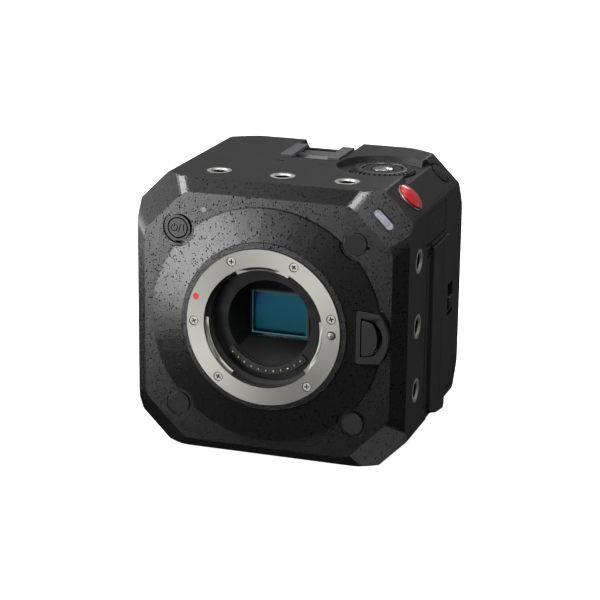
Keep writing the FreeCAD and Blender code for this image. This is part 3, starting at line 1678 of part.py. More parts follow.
def fan_housing():
    half = fan_size / 2.0
    near = -wall - fan_thickness
    solid = block(-half, half, -half, half, near, -wall)
    solid = rounded(solid, fan_corner_radius).cut(rod(fan_bore_radius, near - 1, 0))
    struts = []
    for index in range(3):
        strut = block(0, fan_bore_radius + 0.5, -fan_strut_half, fan_strut_half, near, near + fan_spider)
        struts.append(turned(strut, V(0, 0, 1), 30 + index * 120))
    centre = rod(fan_hub_radius, near, near + fan_spider)
    shaft = rod(fan_shaft_radius, near + fan_spider - 0.1, -wall - fan_lid_gap - 0.6)
    return fan_place(fused([solid, centre, shaft] + struts))


def fan_rotor():
    near = -wall - fan_thickness + fan_spider + slide_gap
    far = -wall - fan_lid_gap
    hub = rod(fan_hub_radius, near, far).cut(rod(fan_shaft_radius + running_gap, near - 1, far - 0.5))
    blades = []
    step = 360.0 / fan_blade_count
    for index in range(fan_blade_count):
        blade = block(fan_hub_radius - 0.4, fan_bore_radius - 0.8, -fan_blade_half, fan_blade_half,
                      near + 0.2, far - 0.2)
        blade = turned(blade, V(1, 0, 0), fan_blade_turn, V(0, 0, (near + far) / 2.0))
        blades.append(turned(blade.common(rod(fan_bore_radius, near, far)), V(0, 0, 1), index * step))
    return fan_place(fused([hub] + blades))


def card_reader():
    x1 = door_pocket_floor() - wall
    x0 = x1 - reader_thickness
    body = box(x0, x1, card_window_front - 1.0, card_window_rear + 1.0, card_window_low - 1.0,
               card_window_high - 2.0)
    middle = (card_window_low + card_window_high - 3.0) / 2.0
    tools = []
    for depth in (card_window_front + 3.0, card_window_front + 8.5):
        tools.append(box(x0 + 1.0, x1 + 1, depth, depth + reader_slot_width,
                         middle - reader_slot_height / 2.0, middle + reader_slot_height / 2.0))
    return all_cut(body, tools)


makers = {
    "front_cover": front_cover, "top_cover": top_cover, "left_side_cover": left_side_cover,
    "right_side_cover": right_side_cover, "bottom_cover": bottom_cover, "rear_cover": rear_cover,
    "chassis_frame": chassis_frame, "bayonet_mount": bayonet_mount, "mount_screws": mount_screws,
    "mount_index_mark": mount_index_mark, "mount_trim_ring": mount_trim_ring,
    "lens_lock_pin": lens_lock_pin, "lens_release_button": lens_release_button,
    "lens_release_surround": lens_release_surround, "release_link": release_link,
    "release_spring": release_spring, "light_baffle": light_baffle,
    "lens_contact_block": lens_contact_block, "lens_contact_pins": lens_contact_pins,
    "sensor_window": sensor_window, "sensor_package": sensor_package, "image_sensor": image_sensor,
    "sensor_board": sensor_board, "heat_sink": heat_sink, "socket_inserts": socket_inserts,
    "front_screw_caps": front_screw_caps, "cover_screws": cover_screws,
    "power_button": power_button, "button_boards": button_boards, "power_lamp": power_lamp,
    "tally_lamp": tally_lamp, "control_dial": control_dial, "dial_hub": dial_hub,
    "pad_rocker": pad_rocker, "cursor_pad": cursor_pad, "set_button": set_button,
    "record_button": record_button, "record_button_ring": record_button_ring,
    "function_button": function_button, "plug_sockets": plug_sockets,
    "accessory_shoe": accessory_shoe, "shoe_contacts": shoe_contacts, "card_door": card_door,
    "door_hinge_pin": door_hinge_pin, "door_catch": door_catch, "port_cover": port_cover,
    "jack_cover": jack_cover, "card_reader": card_reader, "main_board": main_board,
    "fan_housing": fan_housing, "fan_rotor": fan_rotor, "battery_plate": battery_plate,
    "battery_terminals": battery_terminals, "battery_release": battery_release,
    "bnc_sockets": bnc_sockets, "lan_socket": lan_socket, "video_socket": video_socket,
    "data_socket": data_socket, "power_socket": power_socket,
}

os.makedirs("parts", exist_ok=True)
for name, make in makers.items():
    shape = make()
    shape.exportStep("parts/" + name + ".step")
    print(name, len(shape.Solids), round(shape.Volume, 1), shape.isValid())
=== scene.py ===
# %% [markdown]
# # A box video camera
# The object is a cube of painted metal covers with a steel lens mount, a sensor behind it, a control
# dial, a red record button, threaded sockets and a card door. The model that this lesson starts from
# already has every piece at its true size, in metres. What is left is what the eye judges: rounded
# edges, paint with a grain, turned steel, coated glass, screw threads, and light.

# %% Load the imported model
import json
import math

import bmesh
import bpy
import numpy as np
from mathutils import Matrix, Vector

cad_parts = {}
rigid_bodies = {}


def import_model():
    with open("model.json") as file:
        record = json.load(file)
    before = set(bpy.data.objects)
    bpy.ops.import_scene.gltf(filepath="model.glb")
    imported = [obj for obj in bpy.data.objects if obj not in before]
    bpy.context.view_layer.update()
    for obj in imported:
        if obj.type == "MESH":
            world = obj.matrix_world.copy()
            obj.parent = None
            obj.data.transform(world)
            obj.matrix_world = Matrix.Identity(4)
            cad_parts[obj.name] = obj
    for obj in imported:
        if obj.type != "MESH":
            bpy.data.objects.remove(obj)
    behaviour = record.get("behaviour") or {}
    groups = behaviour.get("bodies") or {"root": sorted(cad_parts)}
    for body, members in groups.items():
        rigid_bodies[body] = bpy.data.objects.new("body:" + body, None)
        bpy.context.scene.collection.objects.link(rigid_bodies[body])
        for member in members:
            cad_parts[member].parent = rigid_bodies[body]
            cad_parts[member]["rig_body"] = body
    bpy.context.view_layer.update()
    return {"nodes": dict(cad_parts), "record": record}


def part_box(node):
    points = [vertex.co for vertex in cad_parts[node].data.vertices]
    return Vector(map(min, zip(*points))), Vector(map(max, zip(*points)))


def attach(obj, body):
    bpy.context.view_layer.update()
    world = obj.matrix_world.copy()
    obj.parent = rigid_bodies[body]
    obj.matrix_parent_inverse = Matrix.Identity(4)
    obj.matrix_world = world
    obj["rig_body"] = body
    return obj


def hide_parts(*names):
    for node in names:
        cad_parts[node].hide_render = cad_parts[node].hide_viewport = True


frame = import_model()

MM = 0.001
slot_of = {part["node"]: part["material_slot"] for part in frame["record"]["subparts"]}
print("pieces in the packed model:", len(frame["nodes"]))

# %% [markdown]
# ## Where the main forms lie
# A few places are needed again and again, above all the lens axis and the plane of the mount. They
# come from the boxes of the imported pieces, so that everything added here stays seated if the model
# changes.

# %% Places in millimetres
def box_mm(node):
    """The lowest and highest corner of a piece at rest, in millimetres."""
    low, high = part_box(node)
    return np.array(low) / MM, np.array(high) / MM


mount_low, mount_high = box_mm("bayonet_mount")
lens_x = (mount_low[0] + mount_high[0]) / 2.0
lens_z = (mount_low[2] + mount_high[2]) / 2.0
mount_face_y = mount_low[1]
print("lens axis at x %.2f, z %.2f; mount face at y %.2f mm" % (lens_x, lens_z, mount_face_y))

# %% [markdown]
# ## The camera first
# The photograph was taken with a long lens from a little above and to the right. The place and the
# angle were found by fitting the camera to the object's own edges, so the picture and the render
# line up.

# %% Camera
TARGET_MM = (0.09, -4.0, 45.45)
DISTANCE_MM = 703.34
AZIMUTH_DEG, ELEVATION_DEG, ROLL_DEG = 18.28, 16.51, 0.72
LENS_MM, SENSOR_WIDTH_MM = 124.08, 36.0

azimuth, elevation, roll = map(math.radians, (AZIMUTH_DEG, ELEVATION_DEG, ROLL_DEG))
away = Vector((math.sin(azimuth) * math.cos(elevation), -math.cos(azimuth) * math.cos(elevation),
               math.sin(elevation)))
level_right = (-away).cross(Vector((0, 0, 1))).normalized()
level_up = level_right.cross(-away)
right = level_right * math.cos(roll) + level_up * math.sin(roll)
up = level_up * math.cos(roll) - level_right * math.sin(roll)

camera = bpy.data.objects.new("camera", bpy.data.cameras.new("camera"))
bpy.context.scene.collection.objects.link(camera)
turn = Matrix((right, up, away)).transposed().to_4x4()
camera.matrix_world = Matrix.Translation(Vector(TARGET_MM) * MM + away * DISTANCE_MM * MM) @ turn
camera.data.sensor_width = SENSOR_WIDTH_MM
camera.data.lens = LENS_MM
bpy.context.scene.camera = camera
print("camera at", [round(v, 4) for v in camera.matrix_world.translation])

# %% [markdown]
# ## Small tools for materials
# Colours are picked as the hex values that a screen shows, and the renderer wants them linear. A node
# graph reads best when each line says what a node is, what it is fed and how it is set. One function
# does that, and hands back the output that the next line needs.

# %% Colour and node helpers
def linear(hex_colour):
    """Linear red, green, blue and alpha 1 from an sRGB hex value."""
    parts = [int(hex_colour[i:i + 2], 16) / 255.0 for i in (1, 3, 5)]
    return tuple(p / 12.92 if p <= 0.04045 else ((p + 0.055) / 1.055) ** 2.4 for p in parts) + (1.0,)


def add(tree, kind, inputs=None, output=0, stops=(), **settings):
    """Adds one node: sets its properties, fills its sockets with values or links, gives a colour ramp
    its stops of (place, hex colour), and returns one of the node's outputs."""
    node = tree.nodes.new("ShaderNode" + kind)
    for name, value in settings.items():
        setattr(node, name, value)
    for key, value in (inputs or {}).items():
        if isinstance(value, bpy.types.NodeSocket):
            tree.links.new(value, node.inputs[key])
        else:
            node.inputs[key].default_value = value
    for index, (place, colour) in enumerate(stops):
        elements = node.color_ramp.elements
        element = elements[index] if index < len(elements) else elements.new(place)
        element.position, element.color = place, linear(colour)
    return node.outputs[output] if node.outputs else None


def start_material(name, colour, roughness, metallic=0.0, **surface):
    """A material with one Principled shader; surface gives further sockets by name."""
    material = bpy.data.materials.new(name)
    material.use_nodes = True
    tree = material.node_tree
    tree.nodes.clear()
    closure = add(tree, "BsdfPrincipled", {"Base Color": linear(colour), "Roughness": roughness,
                                           "Metallic": metallic})
    for socket, value in surface.items():
        closure.node.inputs[socket.replace("_", " ")].default_value = value
    add(tree, "OutputMaterial", {"Surface": closure})
    return material, tree, closure.node


def feed(shader, **outputs):
    """Links outputs to the shader's sockets by name."""
    for socket, output in outputs.items():
        shader.id_data.links.new(output, shader.inputs[socket.replace("_", " ")])


def in_mm(tree):
    """Object coordinates in millimetres, so that a pattern of scale 1 / s has grains s mm wide."""
    where = add(tree, "TexCoord", output="Object")
    return add(tree, "VectorMath", {0: where, 1: (1000.0,) * 3}, operation="MULTIPLY")


# %% [markdown]
# ## Wrinkle paint on the front casting
# The front is a die casting under a wrinkle paint, whose skin dries into small flat-topped grains.
# From a step away it is a dark grey with pale glints and black pits. The glints are painted
# highlights: pale flecks laid into the colour. Cells make the grains. A second set of cells makes the
# pits, each as wide as its own random share allows, and a pit is lower and duller than the skin and
# carries painted shade: its colour is darker and its reflection tinted grey, so it shows most where
# the skin reflects a light. The real grains are about 0.3 mm; they are drawn 0.45 mm wide, because a
# finer grain falls between the pixels and turns to plain grey.

# %% Wrinkle paint
GRAIN_MM, FINE_GRAIN_MM = 0.45, 0.42
PIT_SPACING_MM = 0.62
PIT_RADIUS = 0.46
SKIN_RELIEF_MM = 0.045


def wrinkle_paint():
    """Skin is 1 and a pit 0: a pit is where the distance to its cell's point is under PIT_RADIUS
    times the square of the cell's random share, both counted in pit spacings. The grain is cells plus
    fine noise."""
    material, tree, shader = start_material("wrinkle_paint_on_casting", "#09090a", 0.16,
                                            Specular_IOR_Level=0.5)
    where = in_mm(tree)
    cells = add(tree, "TexVoronoi", {"Vector": where, "Scale": 1.0 / GRAIN_MM}, feature="F1")
    tops = add(tree, "MapRange", {0: cells, 1: 0.1, 2: 0.65, 3: 1.0, 4: 0.0})
    fine = add(tree, "TexNoise", {"Vector": where, "Scale": 1.0 / FINE_GRAIN_MM, "Detail": 1.0,
                                  "Roughness": 0.5})
    pits = add(tree, "TexVoronoi", {"Vector": where, "Scale": 1.0 / PIT_SPACING_MM}, feature="F1")
    chance = add(tree, "SeparateXYZ", {0: pits.node.outputs["Color"]}, output="X")
    share = add(tree, "Math", {0: chance, 1: chance}, operation="MULTIPLY")
    edge = add(tree, "Math", {0: share, 1: -PIT_RADIUS, 2: pits}, operation="MULTIPLY_ADD")
    skin = add(tree, "MapRange", {0: edge, 1: -0.06, 2: 0.1, 3: 0.0, 4: 1.0})
    grained = add(tree, "Math", {0: tops, 1: 0.25, 2: fine}, operation="MULTIPLY_ADD")
    height = add(tree, "Math", {0: skin, 1: 0.35, 2: grained}, operation="MULTIPLY_ADD")
    # Painted highlight: pale glint flecks lighten the colour. Painted shade: the pits darken it.
    painted_glint = add(tree, "MapRange", {0: fine, 1: 0.5, 2: 0.72, 3: 0.0, 4: 1.0})
    tone = add(tree, "Math", {0: painted_glint, 1: 0.4, 2: skin}, operation="MULTIPLY_ADD")
    relief = SKIN_RELIEF_MM * MM
    # The colour ramp and the grey specular tint of the pits carry the painted glints and the painted
    # shade.
    feed(shader, Normal=add(tree, "Bump", {"Height": height, "Distance": relief, "Strength": 0.5}),
         Base_Color=add(tree, "ValToRGB", {0: tone},
                        stops=[(0.0, "#010101"), (0.7, "#09090a"), (1.0, "#1a1a1b")]),
         Roughness=add(tree, "MapRange", {0: skin, 1: 0.0, 2: 1.0, 3: 0.3, 4: 0.16}),
         Specular_Tint=add(tree, "ValToRGB", {0: skin}, stops=[(0.0, "#5c5c5c"), (1.0, "#ffffff")]))
    return material


# %% [markdown]
# ## Smooth paint, moulded plastic and rubber
# The other covers carry a sprayed, finer paint: the same dark grey with a grain of 0.3 mm that only
# softens the reflections. The buttons are moulded in black plastic, whose skin comes from a
# spark-eroded mould and is a little glossier where fingers polish it. The caps over the front screws
# and the flaps on the right side are moulded rubber, dull and slightly dusty.

# %% Paints and plastics
def fine_paint(name, colour, roughness, level):
    """Sprayed paint: an even, soft sheen that drifts slowly over the surface."""
    material, tree, shader = start_material(name, colour, roughness, Specular_IOR_Level=level)
    where = in_mm(tree)
    fine = add(tree, "TexNoise", {"Vector": where, "Scale": 1.0 / 0.3, "Detail": 3.0,
                                  "Roughness": 0.6})
    wide = add(tree, "TexNoise", {"Vector": where, "Scale": 1.0 / 9.0, "Detail": 2.0})
    both = add(tree, "Math", {0: wide, 1: 0.25, 2: fine}, operation="MULTIPLY_ADD")
    feed(shader, Normal=add(tree, "Bump", {"Height": fine, "Distance": 0.014 * MM, "Strength": 0.4}),
         Roughness=add(tree, "MapRange", {0: both, 1: 0.4, 2: 0.9, 3: roughness - 0.05,
                                          4: roughness + 0.08}))
    return material


def moulded_plastic(name, colour, roughness):
    """Black with a fine spark-eroded grain of 0.16 mm, and a few patches worn smoother."""
    material, tree, shader = start_material(name, colour, roughness, Specular_IOR_Level=0.4)
    where = in_mm(tree)
    sparks = add(tree, "TexVoronoi", {"Vector": where, "Scale": 1.0 / 0.16}, feature="SMOOTH_F1")
    worn = add(tree, "TexNoise", {"Vector": where, "Scale": 1.0 / 4.0, "Detail": 3.0})
    feed(shader, Normal=add(tree, "Bump", {"Height": sparks, "Distance": 0.01 * MM, "Strength": 0.5}),
         Roughness=add(tree, "MapRange", {0: worn, 1: 0.3, 2: 0.7, 3: roughness - 0.08,
                                          4: roughness + 0.06}))
    return material


def moulded_rubber(name, colour):
    """Rubber gives back light from all sides: no sharp glint, only a dull, dusty grey."""
    material, tree, shader = start_material(name, colour, 0.6, Specular_IOR_Level=0.4)
    where = in_mm(tree)
    skin = add(tree, "TexNoise", {"Vector": where, "Scale": 1.0 / 0.22, "Detail": 4.0,
                                  "Roughness": 0.65})
    dust = add(tree, "TexNoise", {"Vector": where, "Scale": 1.0 / 1.4, "Detail": 3.0,
                                  "Roughness": 0.6})
    feed(shader, Normal=add(tree, "Bump", {"Height": skin, "Distance": 0.02 * MM, "Strength": 0.5}),
         Roughness=add(tree, "MapRange", {0: dust, 1: 0.35, 2: 0.75, 3: 0.52, 4: 0.7}))
    return material


# %% [markdown]
# ## Turned and brushed steel
# A lens mount is faced on a lathe. The tool leaves fine rings round the axis, and those rings stretch
# every highlight across them, so the ring shows bright wedges that point at its centre. Anisotropy
# does this once the shader knows which way the rings run: along the axis crossed with the way out
# from the centre. Brushed steel is the same with straight lines.

# %% Metals
def turned_steel(name, colour, roughness, centre_mm):
    """Rings 0.07 mm apart round centre_mm; the tangent is the way out crossed with the Y axis."""
    material, tree, shader = start_material(name, colour, roughness, 1.0, Anisotropic=0.65)
    out = add(tree, "VectorMath", {0: in_mm(tree), 1: centre_mm}, operation="SUBTRACT")
    flat = add(tree, "VectorMath", {0: out, 1: (1.0, 0.0, 1.0)}, operation="MULTIPLY")
    round_way = add(tree, "VectorMath", {0: flat, 1: (0.0, 1.0, 0.0)}, operation="CROSS_PRODUCT")
    radius = add(tree, "VectorMath", {0: flat}, output="Value", operation="LENGTH")
    rings = add(tree, "TexNoise", {"W": radius, "Scale": 1.0 / 0.07, "Detail": 2.0},
                noise_dimensions="1D")
    feed(shader, Tangent=add(tree, "VectorMath", {0: round_way}, operation="NORMALIZE"),
         Normal=add(tree, "Bump", {"Height": rings, "Distance": 0.004 * MM, "Strength": 0.15}),
         Roughness=add(tree, "MapRange", {0: rings, 1: 0.3, 2: 0.7, 3: roughness - 0.05,
                                          4: roughness + 0.07}))
    return material


def plain_metal(name, colour, roughness, grain_mm=0.2, depth_mm=0.003):
    """Plated, cast or drawn metal: soft reflections, broken up by a fine grain."""
    material, tree, shader = start_material(name, colour, roughness, 1.0)
    fine = add(tree, "TexNoise", {"Vector": in_mm(tree), "Scale": 1.0 / grain_mm, "Detail": 3.0,
                                  "Roughness": 0.6})
    depth = depth_mm * MM
    feed(shader, Normal=add(tree, "Bump", {"Height": fine, "Distance": depth, "Strength": 0.5}),
         Roughness=add(tree, "MapRange", {0: fine, 1: 0.3, 2: 0.7, 3: roughness - 0.06,
                                          4: roughness + 0.08}))
    return material


def brushed_metal(name, colour, roughness, along):
    """Straight brush lines: the noise is drawn out 30 times along the axis numbered along."""
    material, tree, shader = start_material(name, colour, roughness, 1.0)
    squeeze = [1.0, 1.0, 1.0]
    squeeze[along] = 1.0 / 30.0
    drawn = add(tree, "VectorMath", {0: in_mm(tree), 1: squeeze}, operation="MULTIPLY")
    lines = add(tree, "TexNoise", {"Vector": drawn, "Scale": 1.0 / 0.12, "Detail": 2.0})
    feed(shader, Normal=add(tree, "Bump", {"Height": lines, "Distance": 0.004 * MM, "Strength": 0.5}),
         Roughness=add(tree, "MapRange", {0: lines, 1: 0.3, 2: 0.7, 3: roughness - 0.07,
                                          4: roughness + 0.1}))
    return material


# %% [markdown]
# ## Lacquer, lamps and the sensor
# The record button is red plastic under a clear lacquer, which gives it a second, sharper highlight.
# The tally lamp is milky plastic that lets light run about inside. The sensor is bare silicon under
# coated glass: teal, turning violet towards one corner, where the coating's reflection seen aslant is
# painted into the colour.

# %% Gloss, lamps and sensor
def lacquered_red():
    """A deep red with a wide soft highlight and a small sharp one; the lacquer waves a little."""
    material, tree, shader = start_material("lacquered_red_abs", "#b8141f", 0.25, Coat_Weight=0.9,
                                            Coat_Roughness=0.06, Coat_IOR=1.5)
    flow = add(tree, "TexNoise", {"Vector": in_mm(tree), "Scale": 1.0 / 1.2, "Detail": 2.0})
    feed(shader, Normal=add(tree, "Bump", {"Height": flow, "Distance": 0.008 * MM, "Strength": 0.3}))
    return material


def milky_lamp():
    """Milky plastic: a cloudy pale violet grey that glows softly at its edges."""
    material, tree, shader = start_material("milky_polycarbonate", "#8c8c99", 0.22,
                                            Subsurface_Weight=0.2, Subsurface_Scale=0.002)
    haze = add(tree, "TexNoise", {"Vector": in_mm(tree), "Scale": 1.0 / 1.6, "Detail": 2.0})
    feed(shader, Base_Color=add(tree, "ValToRGB", {0: haze},
                                stops=[(0.35, "#777784"), (0.65, "#9a9aa7")]))
    return material


CORNER_MM = 7.0


def sensor_silicon():
    """Teal, with the coating's reflection painted violet where the product of nearness to the left
    and to the top edge is high.
    """
    material, tree, shader = start_material("microlensed_silicon", "#06384a", 0.3,
                                            Specular_IOR_Level=0.1)
    where = in_mm(tree)
    low, high = box_mm("image_sensor")
    x = add(tree, "SeparateXYZ", {0: where}, output="X")
    left = add(tree, "MapRange", {0: x, 1: low[0], 2: low[0] + CORNER_MM, 3: 1.0, 4: 0.0})
    z = add(tree, "SeparateXYZ", {0: where}, output="Z")
    top = add(tree, "MapRange", {0: z, 1: high[2] - CORNER_MM, 2: high[2], 3: 0.0, 4: 1.0})
    corner = add(tree, "Math", {0: left, 1: top}, operation="MULTIPLY")
    lenses = add(tree, "TexVoronoi", {"Vector": where, "Scale": 1.0 / 0.06}, feature="F1")
    # Painted reflection: the violet of the coating seen aslant is laid into the colour at one corner.
    feed(shader,
         Normal=add(tree, "Bump", {"Height": lenses, "Distance": 0.002 * MM, "Strength": 0.3}),
         Base_Color=add(tree, "ValToRGB", {0: corner}, stops=[(0.0, "#064a5e"), (0.35, "#0a4263"),
                                                              (0.7, "#1d2050"), (1.0, "#150f30")]))
    return material


def coated_glass(name, colour):
    """Glass whose coating takes its reflection away, so that what lies under it keeps its colour."""
    material, tree, shader = start_material(name, colour, 0.03, Transmission_Weight=1.0, IOR=1.05,
                                            Specular_IOR_Level=0.3)
    streaks = add(tree, "TexNoise", {"Vector": in_mm(tree), "Scale": 1.0 / 5.0, "Detail": 2.0})
    feed(shader, Roughness=add(tree, "MapRange", {0: streaks, 1: 0.3, 2: 0.7, 3: 0.02, 4: 0.05}))
    return material


def solder_mask():
    """Green board: the borders of cells are its tracks, where the copper shines through the mask."""
    material, tree, shader = start_material("green_solder_mask", "#0b3d24", 0.35)
    tracks = add(tree, "TexVoronoi", {"Vector": in_mm(tree), "Scale": 1.0 / 2.4},
                 feature="DISTANCE_TO_EDGE")
    feed(shader, Base_Color=add(tree, "ValToRGB", {0: tracks}, stops=[(0.03, "#1f6b3d"),
                                                                      (0.08, "#0b3a22")]))
    return material


def enamel(name, colour, roughness):
    """Flat colour with the slight unevenness of ink or enamel laid on by hand."""
    material, tree, shader = start_material(name, colour, roughness)
    uneven = add(tree, "TexNoise", {"Vector": in_mm(tree), "Scale": 1.0 / 0.8, "Detail": 2.0})
    feed(shader, Roughness=add(tree, "MapRange", {0: uneven, 1: 0.3, 2: 0.7, 3: roughness - 0.06,
                                                  4: roughness + 0.08}))
    return material


# %% [markdown]
# ## One finish for each slot
# The model names a slot for every piece. Each slot gets a finish here, and the imported pieces get
# theirs by assigning to their own material slots. A few pieces differ from the rest of their slot:
# the throat's moulding is grey at its face and carries painted shade deeper in, the power button is
# painted, and the flaps on the right side are a lighter rubber than the caps.

# %% Finishes of the painted and metal pieces
mount_centre = (lens_x, mount_face_y, lens_z)
finish = {
    # Painted castings: black with glints on the front, an even dark grey elsewhere.
    "textured_paint": wrinkle_paint(),
    "satin_paint": fine_paint("fine_paint_on_casting", "#18181a", 0.42, 0.38),
    # Bare aluminium: dull and uneven as cast, streaked where it is milled.
    "cast_alloy": plain_metal("die_cast_aluminium", "#8e8e90", 0.5, 0.5, 0.01),
    "sink_alloy": brushed_metal("milled_aluminium", "#b4b6b8", 0.35, 0),
    # Steel: bright wedges on the turned ring, small soft glints on the rest.
    "mount_steel": turned_steel("turned_stainless_steel", "#a3a29c", 0.42, mount_centre),
    "screw_steel": plain_metal("bright_screw_steel", "#b9b9b3", 0.45),
    "black_screw": plain_metal("blackened_screw_steel", "#242425", 0.45),
    "link_steel": brushed_metal("plated_steel", "#a6a6a4", 0.35, 2),
    "spring_steel": plain_metal("spring_wire", "#9a9a98", 0.3),
    "shoe_metal": brushed_metal("blackened_pressed_steel", "#7e7e80", 0.45, 1),
    # Anodised aluminium keeps the colour of its dye under a satin sheen.
    "hub_ring": plain_metal("satin_anodised_ring", "#7a7a7d", 0.3),
    "set_metal": plain_metal("satin_anodised_button", "#c0c0c3", 0.24),
    # Platings: pale gold, and nickel and tin that are a little warm and mirror softly.
    "contact_gold": plain_metal("gold_plated_contact", "#e4ddd0", 0.35),
    "insert_steel": plain_metal("nickel_plated_insert", "#bcbbb7", 0.5),
    "record_chrome": plain_metal("polished_nickel_ring", "#9a9a98", 0.25),
    "shoe_contact": plain_metal("tinned_contact", "#dcdcd6", 0.3),
    "socket_nickel": plain_metal("nickel_plated_socket", "#b5b3ac", 0.28),
}
finish["trim_paint"] = finish["textured_paint"]
print("painted and metal finishes:", len(finish))

# %% Finishes of the plastic, rubber and glass pieces
finish.update({
    # Moulded plastic and ceramic: near black, with a grain that only the glancing light shows.
    "black_plastic": moulded_plastic("moulded_abs_black", "#0d0d0e", 0.4),
    "socket_black": moulded_plastic("socket_plastic", "#0c0c0d", 0.5),
    "sensor_ceramic": moulded_plastic("sensor_package_ceramic", "#1c1c1e", 0.55),
    "cap_rubber": moulded_rubber("moulded_rubber", "#161617"),
    # Gloss and glass: the few pieces with colour, each with a clear reflection over it.
    "index_red": enamel("red_enamel", "#d83a34", 0.4),
    "record_red": lacquered_red(),
    "lamp_dark": enamel("smoked_lens", "#8c8c8c", 0.3),
    "lamp_white": milky_lamp(),
    "sensor_glass": coated_glass("coated_filter_glass", "#e6ffff"),
    "sensor_silicon": sensor_silicon(),
    "circuit_board": solder_mask(),
})


THROAT_MM = 10.0


def throat_plastic():
    """The moulding's face is grey; the tunnel behind it, from two millimetres in, is darkened by
    painted shade, with one lighter band. The ramp runs over THROAT_MM of depth from the face."""
    material = moulded_plastic("moulded_abs_dark_grey", "#333334", 0.6)
    tree = material.node_tree
    shader = next(node for node in tree.nodes if node.type == "BSDF_PRINCIPLED")
    y = add(tree, "SeparateXYZ", {0: in_mm(tree)}, output="Y")
    face = box_mm("light_baffle")[0][1]
    depth = add(tree, "MapRange", {0: y, 1: face, 2: face + THROAT_MM, 3: 0.0, 4: 1.0})
    # Painted shade: the colour darkens with depth into the tunnel, with one lighter band between.
    feed(shader, Base_Color=add(tree, "ValToRGB", {0: depth}, stops=[
        (0.2, "#333334"), (0.27, "#0b0b0c"), (0.42, "#1c1c1d"), (0.55, "#070708")]))
    return material


finish_of = {node: finish[slot_of[node]] for node in frame["nodes"]}
finish_of["light_baffle"] = throat_plastic()
finish_of["power_button"] = fine_paint("painted_abs", "#1c1c1d", 0.26, 0.5)
finish_of["port_cover"] = finish_of["jack_cover"] = moulded_rubber("moulded_rubber_grey", "#1f1f20")
for node, piece in frame["nodes"].items():
    for slot in piece.material_slots:
        slot.material = finish_of[node]
print("finishes on the packed pieces:", len(set(finish_of.values())))

# %% [markdown]
# ## Edges that catch the light
# No cast or moulded edge is perfectly sharp, and the thin bright line along a rounded edge is what
# makes a dark object readable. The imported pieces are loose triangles, so each piece that shows is
# copied, its doubles are merged, its flat triangles are joined into whole faces, and a Bevel rounds
# every edge that turns by more than 25 degrees. The smooth rest is shaded smooth. Broad pieces are
# shaded smooth only over turns of up to 7 degrees, because a wide flat face shows every streak. The
# covers and the other pieces with an edge of 0 keep the edges that they have: they are large faces
# with long cut-outs, where a Bevel of a tenth of a millimetre shows less than the faults it makes.

# %% Copies with rounded edges
BROAD = ("card_door", "bayonet_mount", "mount_trim_ring")
SMOOTH_DEG, BROAD_SMOOTH_DEG = 25.0, 7.0


def rounded_copy(node, edge_mm, smooth_deg):
    """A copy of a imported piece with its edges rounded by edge_mm; it stands for that piece."""
    source = frame["nodes"][node]
    mesh = bpy.data.meshes.new(node + "_rounded")
    work = bmesh.new()
    work.from_mesh(source.data)
    bmesh.ops.remove_doubles(work, verts=work.verts, dist=0.002 * MM)
    bmesh.ops.dissolve_limit(work, angle_limit=math.radians(0.5), verts=work.verts, edges=work.edges,
                             delimit=set())
    work.to_mesh(mesh)
    work.free()
    mesh.materials.append(finish_of[node])
    return finished(node + "_rounded", mesh, source["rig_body"], edge_mm,
                    replaced=(node,), smooth_deg=smooth_deg)


def finished(name, mesh, body, edge_mm=0.0, angle_deg=25.0, replaced=(), smooth_deg=SMOOTH_DEG):
    """Turns a mesh into a smooth-shaded piece that rides on a body and has its edges rounded."""
    mesh.polygons.foreach_set("use_smooth", np.ones(len(mesh.polygons), bool))
    mesh.set_sharp_from_angle(angle=math.radians(smooth_deg))
    piece = bpy.data.objects.new(name, mesh)
    bpy.context.scene.collection.objects.link(piece)
    if edge_mm:
        bevel = piece.modifiers.new("rounded_edges", "BEVEL")
        bevel.width = edge_mm * MM
        bevel.segments = 2
        bevel.limit_method = "ANGLE"
        bevel.angle_limit = math.radians(angle_deg)
        bevel.use_clamp_overlap = False
        bevel.harden_normals = True
        bevel.miter_outer = "MITER_ARC"
    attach(piece, body)
    if replaced:
        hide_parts(*replaced)
    return piece


# %% Edge widths in millimetres
edge_of = {
    "front_cover": 0.0, "top_cover": 0.12, "left_side_cover": 0.0, "right_side_cover": 0.0,
    "bottom_cover": 0.0, "rear_cover": 0.0, "card_door": 0.12, "port_cover": 0.2, "jack_cover": 0.2,
    "door_catch": 0.06, "bayonet_mount": 0.0, "mount_trim_ring": 0.1,
    "lens_lock_pin": 0.05, "lens_release_button": 0.15, "lens_release_surround": 0.15,
    "lens_contact_block": 0.14, "front_screw_caps": 0.06, "cover_screws": 0.05,
    "power_button": 0.06, "tally_lamp": 0.08, "control_dial": 0.06, "dial_hub": 0.06,
    "cursor_pad": 0.08, "set_button": 0.06, "record_button": 0.12, "record_button_ring": 0.08,
    "function_button": 0.1,
    "accessory_shoe": 0.12, "battery_plate": 0.0, "battery_release": 0.1, "bnc_sockets": 0.1,
    "lan_socket": 0.08, "video_socket": 0.06, "data_socket": 0.06, "power_socket": 0.06,
    "battery_terminals": 0.05, "fan_housing": 0.1, "fan_rotor": 0.06,
}
for node, edge_mm in edge_of.items():
    broad = node.endswith("_cover") or node in BROAD
    rounded_copy(node, edge_mm, BROAD_SMOOTH_DEG if broad else SMOOTH_DEG)
print("copies: %d, rounded: %d" % (len(edge_of), sum(width > 0.0 for width in edge_of.values())))

# %% [markdown]
# ## Surfaces from arrays
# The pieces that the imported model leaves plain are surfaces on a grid: rows of points go round, and
# columns go along. One helper closes such a grid into a mesh, and the shape itself is then only a
# formula.

